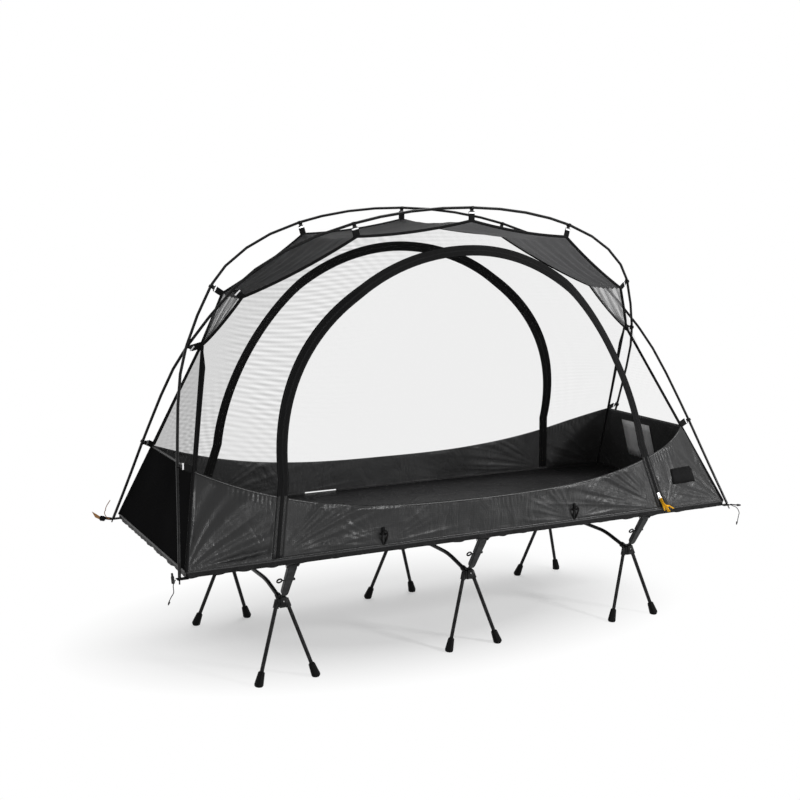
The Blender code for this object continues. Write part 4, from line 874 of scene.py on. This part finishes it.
def door_cloth(name, side):
    grid = wall_rows(side, lambda z: -leg_x(z, -ZIP_EDGE), lambda z: leg_x(z, -ZIP_EDGE), 260, 44, SILL_Z)
    lift = dents(grid, 0.0009, 0.10, 51) + puckers(grid, 0.0014)
    for end in (-1, 1):
        foot = (end * leg_x(SILL_Z, 0), side * BASE_Y, SILL_Z)
        seed = side + 3 * end
        lift += fans(grid, foot, 0.030, 0.46, 40 + seed, 6, (0.05, 0.70), (0.030, 0.055))
        lift += fans(grid, foot, 0.012, 0.40, 44 + seed, 8, (0.04, 0.80), (0.010, 0.020))
    for at, seed in zip(TOGGLES, (61, 67)):
        lift += fans(grid, (at, side * BASE_Y, SILL_Z), 0.014, 0.26, seed, 7, (0.1, 1.1))
    return grid_piece("door_cloth_" + name, pushed(grid, lift), wall_material(side), CLOTH), grid[-1]


def door_net(name, side, low):
    """The net above a door's cloth; low is the cloth's top edge."""
    reach = low[-1, 0] + 0.05
    arch = np.array([p for p in zip_line(-ZIP_EDGE) if p[1] > wall_top(p[0]) + 0.001 and abs(p[0]) < reach])
    low_x = np.interp(np.linspace(0, 1, len(arch)), np.linspace(0, 1, len(low)), low[:, 0])
    low = np.stack([low_x, wall_top(low_x)], axis=-1)
    rows = [side_points(*(low * (1 - share) + arch * share).T, side) for share in np.linspace(0, 1, 24)]
    return grid_piece("door_net_" + name, rows, "net")


def add_doors():
    """Each door: a coated lower part and a net above it, in one swinging piece."""
    for name, side in SIDES:
        cloth, top = door_cloth(name, side)
        for obj in (cloth, door_net(name, side, top)):
            fit(obj, "door_" + name, "door_" + name)
            declare(obj)


def add_side_nets():
    low_z = wall_top(0.66)
    crossing = leg_x(low_z, ZIP_EDGE)
    inner = np.array([p for p in zip_line(ZIP_EDGE) if p[1] > low_z])
    inner = np.concatenate([[(-crossing, low_z)], inner, [(crossing, low_z)]])
    rise = np.linspace(WALL_END_Z, POINT[2], 14)[:-1]
    right = np.stack([ridge_x(rise)[::-1], rise[::-1]], axis=-1)
    for name, side in SIDES:
        outer = np.concatenate([(right * (-1, 1))[::-1], roof_edge(side)[:, [0, 2]], right])
        travel = travel_along(outer)
        want = np.linspace(0, travel[-1], len(inner))
        outer = np.stack([np.interp(want, travel, outer[:, axis]) for axis in (0, 1)], axis=-1)
        rows = []
        for share in np.linspace(0, 1, 12):
            line = inner * (1 - share) + outer * share
            for index in (0, -1):
                line[index, 1] = wall_top(line[index, 0])
            rows.append(side_points(line[:, 0], line[:, 1], side))
        obj = grid_piece("side_net_cloth_" + name, rows, "side_net")
        fit(obj, ROOT, "side_net_" + name)
        declare(obj)


def add_end_nets():
    for end_name, end in ENDS:
        rows = [end_row(z, end, 20) for z in np.linspace(WALL_END_Z, POINT[2] - 0.006, 16)]
        obj = grid_piece("end_net_cloth_" + end_name, rows, "end_net")
        fit(obj, ROOT, "end_net_" + end_name)
        declare(obj)


def add_zip_bands():
    for name, side in SIDES:
        rows = []
        for offset in np.linspace(-ZIP_EDGE, ZIP_EDGE, 9):
            points = side_points(*zip_line(offset).T, side)
            points[:, 1] += side * ZIP_BULGE * (1 - (offset / ZIP_EDGE) ** 2)
            rows.append(points)
        obj = grid_piece("zip_tape_" + name, rows, "zip_tape", ZIP_TAPE)
        fit(obj, ROOT, "zip_band_" + name)
        declare(obj)


def add_wall_edges():
    """The bound and stitched top edge of the dark wall, all round the tent."""
    outside = np.linspace(leg_x(LEG_WALL_Z, ZIP_EDGE), ridge_x(WALL_END_Z), 20)
    inside = leg_x(LEG_WALL_Z, -ZIP_EDGE)
    for name, side in SIDES:
        for end in (-1, 0, 1):
            x = outside * end if end else np.linspace(-inside, inside, 80)
            proud = (0, side * EDGE_TAPE_PROUD, 0)
            rows = [side_points(x, wall_top(x) + up, side) + proud for up in EDGE_TAPE_ROWS]
            obj = grid_piece("edge_tape_%s_%d" % (name, end + 1), rows, "edge_tape")
            fit(obj, ROOT if end else "door_" + name)
    for end_name, end in ENDS:
        rows = [end_row(WALL_END_Z + up, end, 20, EDGE_TAPE_PROUD) for up in EDGE_TAPE_ROWS]
        fit(grid_piece("edge_tape_" + end_name, rows, "edge_tape"))


def add_patches():
    """A bare dark patch on the near wall and a bare grey one inside the right end wall."""
    across, up = NEAR_PATCH
    x = np.linspace(*across, 8)
    rows = [side_points(x, z, -1) + (0, -PATCH_PROUD, 0) for z in np.linspace(*up, 5)]
    fit(grid_piece("near_patch", rows, "dark_patch", DARK_PATCH))
    across, up = END_PATCH
    rows = []
    for z in np.linspace(*up, 6):
        at = ridge_at(z, 1, 1)[0] - PATCH_PROUD
        rows.append([(at, y, z) for y in np.linspace(*across, 6)])
    fit(grid_piece("end_patch", rows, "pale_patch", PALE_PATCH))


def add_roof():
    near, far = roof_edge(-1, 24), roof_edge(1, 24)
    rows = []
    for share in np.linspace(0, 1, 64):
        line = near * (1 - share) + far * share
        line[:, 2] -= ROOF_SAG * 4 * share * (1 - share) * np.clip(np.abs(near[:, 1]) / 0.15, 0, 1)
        rows.append(line)
    grid = np.array(rows)
    across = np.linspace(0, 1, len(grid))[:, None]
    slack = np.clip((np.abs(grid[..., 0]) - 0.30) / 0.2, 0, 1)
    ripple = np.sin(across * 2 * np.pi * 7 + 2.4 * np.sin(grid[..., 0] * 9)) * slack * 0.0022
    obj = grid_piece("roof_cloth", pushed(grid, dents(grid, 0.0018, 0.16, 71) + ripple), "roof_cloth", CLOTH)
    return fit(obj, ROOT, "roof_panel")


def add_ridge_tapes():
    """Flat tape sewn over each ridge, a strip on the side and a strip on the end."""
    z = np.linspace(WALL_END_Z, POINT[2] - 0.002, 40)
    taper = np.clip((POINT[2] - z) / 0.06, 0.30, 1)
    for end_name, end in ENDS:
        for name, side in SIDES:
            width = RIDGE_TAPES[side, end]
            ridge = ridge_at(z, end, side)
            rows = []
            for back in (width, width / 2, min(width / 4, 0.002)):
                strip = side_points(ridge[:, 0] - end * back * taper, z, side)
                rows.append(strip + (0, side * RIDGE_TAPE_PROUD, 0))
            rows.append(ridge + (end * RIDGE_TAPE_PROUD, 0, 0))
            for back in (width / 2, width):
                reach = np.minimum(back * taper, np.abs(ridge[:, 1]))
                rows.append(ridge - np.stack([0 * z - end * RIDGE_TAPE_PROUD, side * reach, 0 * z], axis=-1))
            obj = grid_piece("ridge_tape_%s_%s" % (name, end_name), rows, "seam_tape", RIDGE_TAPE)
            fit(obj)


def hook_shapes(straps, hooks, buckles, middle, run, corner):
    """One tie: a C-shaped hook on the pole with its lug, a bright buckle bar, and the strap to the tent."""
    middle, run, corner = Vector(middle), Vector(run).normalized(), Vector(corner)
    pull = corner - middle
    square = (pull - run * pull.dot(run)).normalized()
    place = frame_along(middle, run, square)
    turns = np.linspace(HOOK_MOUTH, math.tau - HOOK_MOUTH, HOOK_STEPS + 1)
    lines = []
    for radius, half in ((HOOK_INNER, -1), (HOOK_INNER, 1), (HOOK_OUTER, 1), (HOOK_OUTER, -1)):
        points = [Vector((radius * math.cos(t), radius * math.sin(t), half * HOOK_HALF_WIDTH)) for t in turns]
        lines.append([hooks.verts.new(place @ point) for point in points])
    for a, b in zip(lines, lines[1:] + lines[:1]):
        for k in range(HOOK_STEPS):
            hooks.faces.new((a[k], a[k + 1], b[k + 1], b[k]))
    for k in (0, HOOK_STEPS):
        hooks.faces.new([line[k] for line in lines])
    start = middle + square * HOOK_OUTER
    add_box(hooks, HOOK_LUG, frame_along(start + square * 0.003, square, run), 0.0012)
    add_box(buckles, BUCKLE, frame_along(start + square * 0.0085, run, square), 0.001)
    end = start + square * 0.007
    strap = corner - end
    along = frame_along(end + strap / 2, strap, square.cross(run))
    add_box(straps, (STRAP, STRAP_WIDTH, strap.length + 0.006), along, 0.0008)


def add_harness():
    shapes = [bmesh.new() for _ in range(3)]
    for near, far, run, corner in HOOKS:
        for end in (-1, 1) if near[0] else (1,):
            for side, spot in ((-1, near), (1, far)):
                turned = (run[0] * end, -run[1] * side, run[2])
                at = (corner[0] * end, math.copysign(corner[1], spot[1]), corner[2])
                hook_shapes(*shapes, (spot[0] * end, *spot[1:]), turned, at)
    for end in (-1, 1):
        turned = [(line[0] * end, *line[1:]) for line in (CROSSING_PLACE, CROSSING_RUN, CROSSING_CORNER)]
        hook_shapes(*shapes, *turned)
    looks = (("tie_straps", "strap"), ("pole_hooks", "moulded"), ("tie_buckles", "buckle"))
    parts = [mesh_piece(name, shape, mat) for shape, (name, mat) in zip(shapes, looks)]
    for name, side in SIDES:
        foot = ridge_at(FLOOR_Z, 1, side)
        line = np.concatenate([[foot * (-1, 1, 1)], roof_edge(side), [foot]])
        parts.append(curve_piece("seam_tape_" + name, line, SEAM_RADIUS, "seam_tape"))
    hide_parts("seam_harness")
    return [fit(obj) for obj in parts]


def add_hem():
    """Gathered band that hangs from the floor's edge over the rails."""
    corners = [(-BASE_X, -BASE_Y), (BASE_X, -BASE_Y), (BASE_X, BASE_Y), (-BASE_X, BASE_Y)]
    corners = np.array(corners + corners[:1])
    line = []
    for a, b in zip(corners, corners[1:]):
        count = int(np.linalg.norm(b - a) / HEM_STEP)
        share = np.arange(count) / count
        line.append(a + (b - a) * share[:, None])
    line = np.concatenate(line + [corners[-1:]])
    travel = travel_along(line)
    turn = travel * 2 * np.pi
    fine, slow = HEM_WAVES
    wave = np.sin(turn / fine + 1.3 * np.sin(travel * 9)) * 0.5 + 0.5 * np.sin(turn / slow)
    bump = np.sin(turn / HEM_FOLD + 2.6 * np.sin(travel * 5.7)) * (0.55 + 0.45 * np.sin(travel * 9.1))
    on_end = np.abs(np.abs(line[:, :1]) - BASE_X) < 1e-6
    normal = np.where(on_end, np.sign(line) * (1, 0), np.sign(line) * (0, 1))
    bump = bump * np.where(on_end[:, 0], 0.45, 1.0)
    rows = []
    for s in np.linspace(0, 1, 7):
        z = BED_TOP - s * (HEM_DROP + 0.0008 * wave + 0.0032 * bump)
        xy = line + normal * (s * (0.0010 * wave + 0.0024 * bump))[:, None]
        rows.append(np.concatenate([xy, z[:, None]], axis=1))
    obj = fit(grid_piece("hem_cloth", rows, "hem_cloth", HEM), ROOT, "hem_skirt")
    top = np.concatenate([line, np.full((len(line), 1), BED_TOP)], axis=1)
    # The piping's lighter colour is a painted highlight along the rolled edge
    piping = fit(curve_piece("hem_piping", top, PIPING_RADIUS, "piping"))
    declare(obj, [piping])


def add_bed():
    """The bed cloth between the sleeves that wrap the rails."""
    level = BED_TOP - 0.0018
    turns = np.linspace(np.pi / 2, -np.pi * 0.95, 14)
    sleeve = [(RAIL_Y + SLEEVE_RADIUS * math.cos(t), RAIL_Z + SLEEVE_RADIUS * math.sin(t)) for t in turns]
    half = [(0.0, level)] + [(y, level) for y in np.linspace(0.05, 0.33, 8)] + sleeve
    line = [(-y, z) for y, z in reversed(half[1:])] + half
    x = np.linspace(-BED_HALF_LENGTH, BED_HALF_LENGTH, 150)
    obj = grid_piece("bed_cloth", [[(at, y, z) for at in x] for y, z in line], "bed_cloth", BED_CLOTH)
    fit(obj, ROOT, "bed_sheet")
    declare(obj)


# Cords and small parts

def smooth(points, steps):
    ends = [points[0] * 2 - points[1]] + list(points) + [points[-1] * 2 - points[-2]]
    curve = []
    for a, b, c, d in zip(ends, ends[1:], ends[2:], ends[3:]):
        for step in range(steps):
            t = step / steps
            pull = (c - a) * t + (a * 2 - b * 5 + c * 4 - d) * t ** 2 + (b * 3 - a - c * 3 + d) * t ** 3
            curve.append(b + pull / 2)
    return curve + [points[-1]]


def add_cords():
    for name, end, side, steps in CORNER_CORDS:
        points = [Vector((end * CORD_START[0], side * CORD_START[1], TAB_Z))]
        for out, across, up in steps:
            points.append(points[-1] + Vector((end * out, side * across, up)))
        line = smooth(points, 4)
        obj = curve_piece("cord_" + name, line, CORD_RADIUS, "tan_cord" if name == "far_left" else "cord")
        fit(obj, ROOT, "corner_cord_" + name)


def add_pulls():
    """The free ends of the ribbon on each zip pull."""
    for name, side in SIDES:
        shape = bmesh.new()
        for line, width in PULL_RIBBONS:
            ribbon_shape(shape, [side_points(x, z, side) + (0, side * out, 0) for x, z, out in line], width)
        fit(mesh_piece("pull_ribbons_" + name, shape, "pull_cord"), "zip_pull_" + name)


def add_toggle_loops():
    half_width, half_height = TOGGLE_LOOP
    for index, at in enumerate(TOGGLES):
        middle = side_points(at, SILL_Z + half_height, -1)
        line = []
        for turn in np.linspace(0, math.tau, 25)[:-1]:
            across = half_width * math.sin(turn) * (1.1 - 0.4 * math.cos(turn))
            out = -0.004 - 0.004 * (1 - math.cos(turn))
            line.append(middle + (across, out, -half_height * math.cos(turn)))
        obj = curve_piece("toggle_loop_%d" % index, line, TOGGLE_RADIUS, "cord", cyclic=True)
        fit(obj, "door_near")


def add_tabs():
    shape = bmesh.new()
    for _, end in ENDS:
        for _, side in SIDES:
            place = Matrix.Translation((end * TAB[0], side * TAB[1], TAB_Z))
            add_box(shape, TAB_SIZE, place, 0.0008)
    fit(mesh_piece("corner_tabs", shape, "strap"))


def add_cord_locks():
    shape = bmesh.new()
    for start, run, radius, length in CORD_LOCKS:
        lock_shape(shape, start, Vector(run).normalized(), radius, length)
    fit(mesh_piece("cord_locks", shape, "lock"))


def add_strap_end():
    """The flat end of the strap at the far left corner with its tip, and the strap to the near right lock."""
    up = (0, 0, 1)
    start, run = Vector(STRAP_END), Vector(STRAP_END_RUN).normalized()
    shape = bmesh.new()
    add_box(shape, STRAP_END_SIZE, frame_along(start + run * 0.012, run, up), 0.0010)
    pad = frame_along(start + run * 0.028 - Vector((0, 0, 0.002)), run, up)
    add_box(shape, STRAP_PAD_SIZE, pad, 0.0024)
    corner = Vector(LOCK_STRAP)
    reach = Vector(CORD_LOCKS[1][0]) - corner
    add_box(shape, (*LOCK_STRAP_SIZE, reach.length), frame_along(corner + reach / 2, reach, up), 0.0005)
    fit(mesh_piece("strap_end", shape, "strap"))
    shape = bmesh.new()
    place = frame_along(start + run * 0.036, run, up)
    low, high = ([shape.verts.new(place @ Vector((x, y, z))) for x, z in STRAP_TIP]
                 for y in (-STRAP_TIP_HALF, STRAP_TIP_HALF))
    shape.faces.new(low[::-1])
    shape.faces.new(high)
    for k in range(4):
        shape.faces.new((low[k], low[(k + 1) % 4], high[(k + 1) % 4], high[k]))
    bmesh.ops.bevel(shape, geom=shape.edges[:], offset=0.0005, segments=2, affect="EDGES")
    fit(mesh_piece("strap_tip", shape, "tan_leather"))


def add_latch_rings():
    """The latch pin's ring and its collars on each strut."""
    shape = bmesh.new()
    for x in UNITS:
        for side in (-1, 1):
            y, z = side * LATCH[0], LATCH[1]
            place = frame_along((x + side * LATCH_RING_X, y, z), (0, 0.845, 0.535), (1, 0, 0))
            ring_shape(shape, place, *LATCH_RING)
            for across, size in LATCH_COLLARS:
                knob = frame_along((x - side * across, y, z), (1, 0, 0), (0, 0, 1))
                bmesh.ops.create_cone(shape, cap_ends=True, segments=16, radius1=size, radius2=size * 0.8,
                                      depth=COLLAR_LENGTH, matrix=knob)
    fit(mesh_piece("latch_rings", shape, "moulded"))


def add_rivets():
    """Bright rivet heads on each hub and on both ends of each lever's pin."""
    shape = bmesh.new()
    flat = Matrix.Diagonal((1, 1, 0.45, 1))
    for x in UNITS:
        for side in (-1, 1):
            heads = [((x, side * HUB_RIVET[0], HUB_RIVET[1]), (0, side, 0))]
            for way in (1, -1):
                heads.append(((x + way * LEVER_HALF_WIDTH, side * LEVER_PIN[0], LEVER_PIN[1]), (way, 0, 0)))
            for place, way in heads:
                bmesh.ops.create_uvsphere(shape, u_segments=12, v_segments=6, radius=RIVET_RADIUS,
                                          matrix=frame_along(place, way, (0, 0.3, 1)) @ flat)
    fit(mesh_piece("rivets", shape, "buckle"))


# Stage

def add_camera():
    data = bpy.data.cameras.new("camera")
    data.lens = CAMERA_LENS
    data.sensor_width = CAMERA_SENSOR
    data.clip_end = 100
    camera = linked("camera", data)
    x, y = math.sin(CAMERA_AZIMUTH), -math.cos(CAMERA_AZIMUTH)
    level, rise = math.cos(CAMERA_ELEVATION), math.sin(CAMERA_ELEVATION)
    back = Vector((x * level, y * level, rise))
    turn = (-back).to_track_quat("-Z", "Y").to_matrix().to_4x4() @ Matrix.Rotation(CAMERA_ROLL, 4, "Z")
    turn.translation = Vector(CAMERA_TARGET) + back * CAMERA_DISTANCE
    camera.matrix_world = turn
    bpy.context.scene.camera = camera


def add_light(name, place, target, size, power):
    data = bpy.data.lights.new(name, "AREA")
    data.shape = "RECTANGLE"
    data.size, data.size_y = size
    data.energy = power
    light = linked(name, data)
    aim = Vector(target) - Vector(place)
    light.matrix_world = Matrix.Translation(place) @ aim.to_track_quat("-Z", "Y").to_matrix().to_4x4()


def add_floor_stage():
    """A pale floor that keeps the cot's shadow and turns to plain white away from it."""
    n = material("studio_floor")
    place = n.scaled(n.coords("Object"), FLOOR_PATCH_SHARE)
    away = n.add("VectorMath", {0: place, 1: FLOOR_PATCH}, operation="DISTANCE").outputs[1]
    share = n.plus(n.times(n.ramp(away, *FLOOR_PATCH_RUN), 1 - FLOOR_GLOW), FLOOR_GLOW)
    matt = n.add("BsdfDiffuse", {"Color": (FLOOR_GREY, FLOOR_GREY, FLOOR_GREY, 1)}).outputs[0]
    plain = n.add("Emission", {"Color": (1, 1, 1, 1), "Strength": 1.0}).outputs[0]
    n.done(n.blend(n.times(share, n.seen()), matt, plain))
    shape = bmesh.new()
    bmesh.ops.create_grid(shape, x_segments=1, y_segments=1, size=30)
    mesh_piece("studio_floor", shape, "studio_floor", False)


def add_world():
    """Soft light, weaker from the left; a plain white backdrop where it is seen."""
    world = bpy.data.worlds.new("studio")
    n = Nodes(world, "World")
    level = n.ramp(n.part(n.coords("Generated"), "X"), -1.0, 1.0, SOFT_LEFT, SOFT_RIGHT)
    soft = n.add("Background", {0: (1, 1, 1, 1), 1: level}).outputs[0]
    white = n.add("Background", {0: (1, 1, 1, 1), 1: 1.0}).outputs[0]
    n.done(n.blend(n.seen(), soft, white))
    bpy.context.scene.world = world
    bpy.context.scene.view_settings.view_transform = "Standard"


def build():
    add_materials()
    add_camera()
    add_cords()
    paint_frame()
    add_tray()
    add_doors()
    add_zip_bands()
    add_wall_edges()
    add_patches()
    add_ridge_tapes()
    add_side_nets()
    add_end_nets()
    roof = add_roof()
    declare(roof, add_harness())
    add_hem()
    add_bed()
    add_pulls()
    add_toggle_loops()
    add_tabs()
    add_cord_locks()
    add_strap_end()
    add_latch_rings()
    add_rivets()
    add_floor_stage()
    add_world()
    for light in LIGHTS:
        add_light(*light)


build()
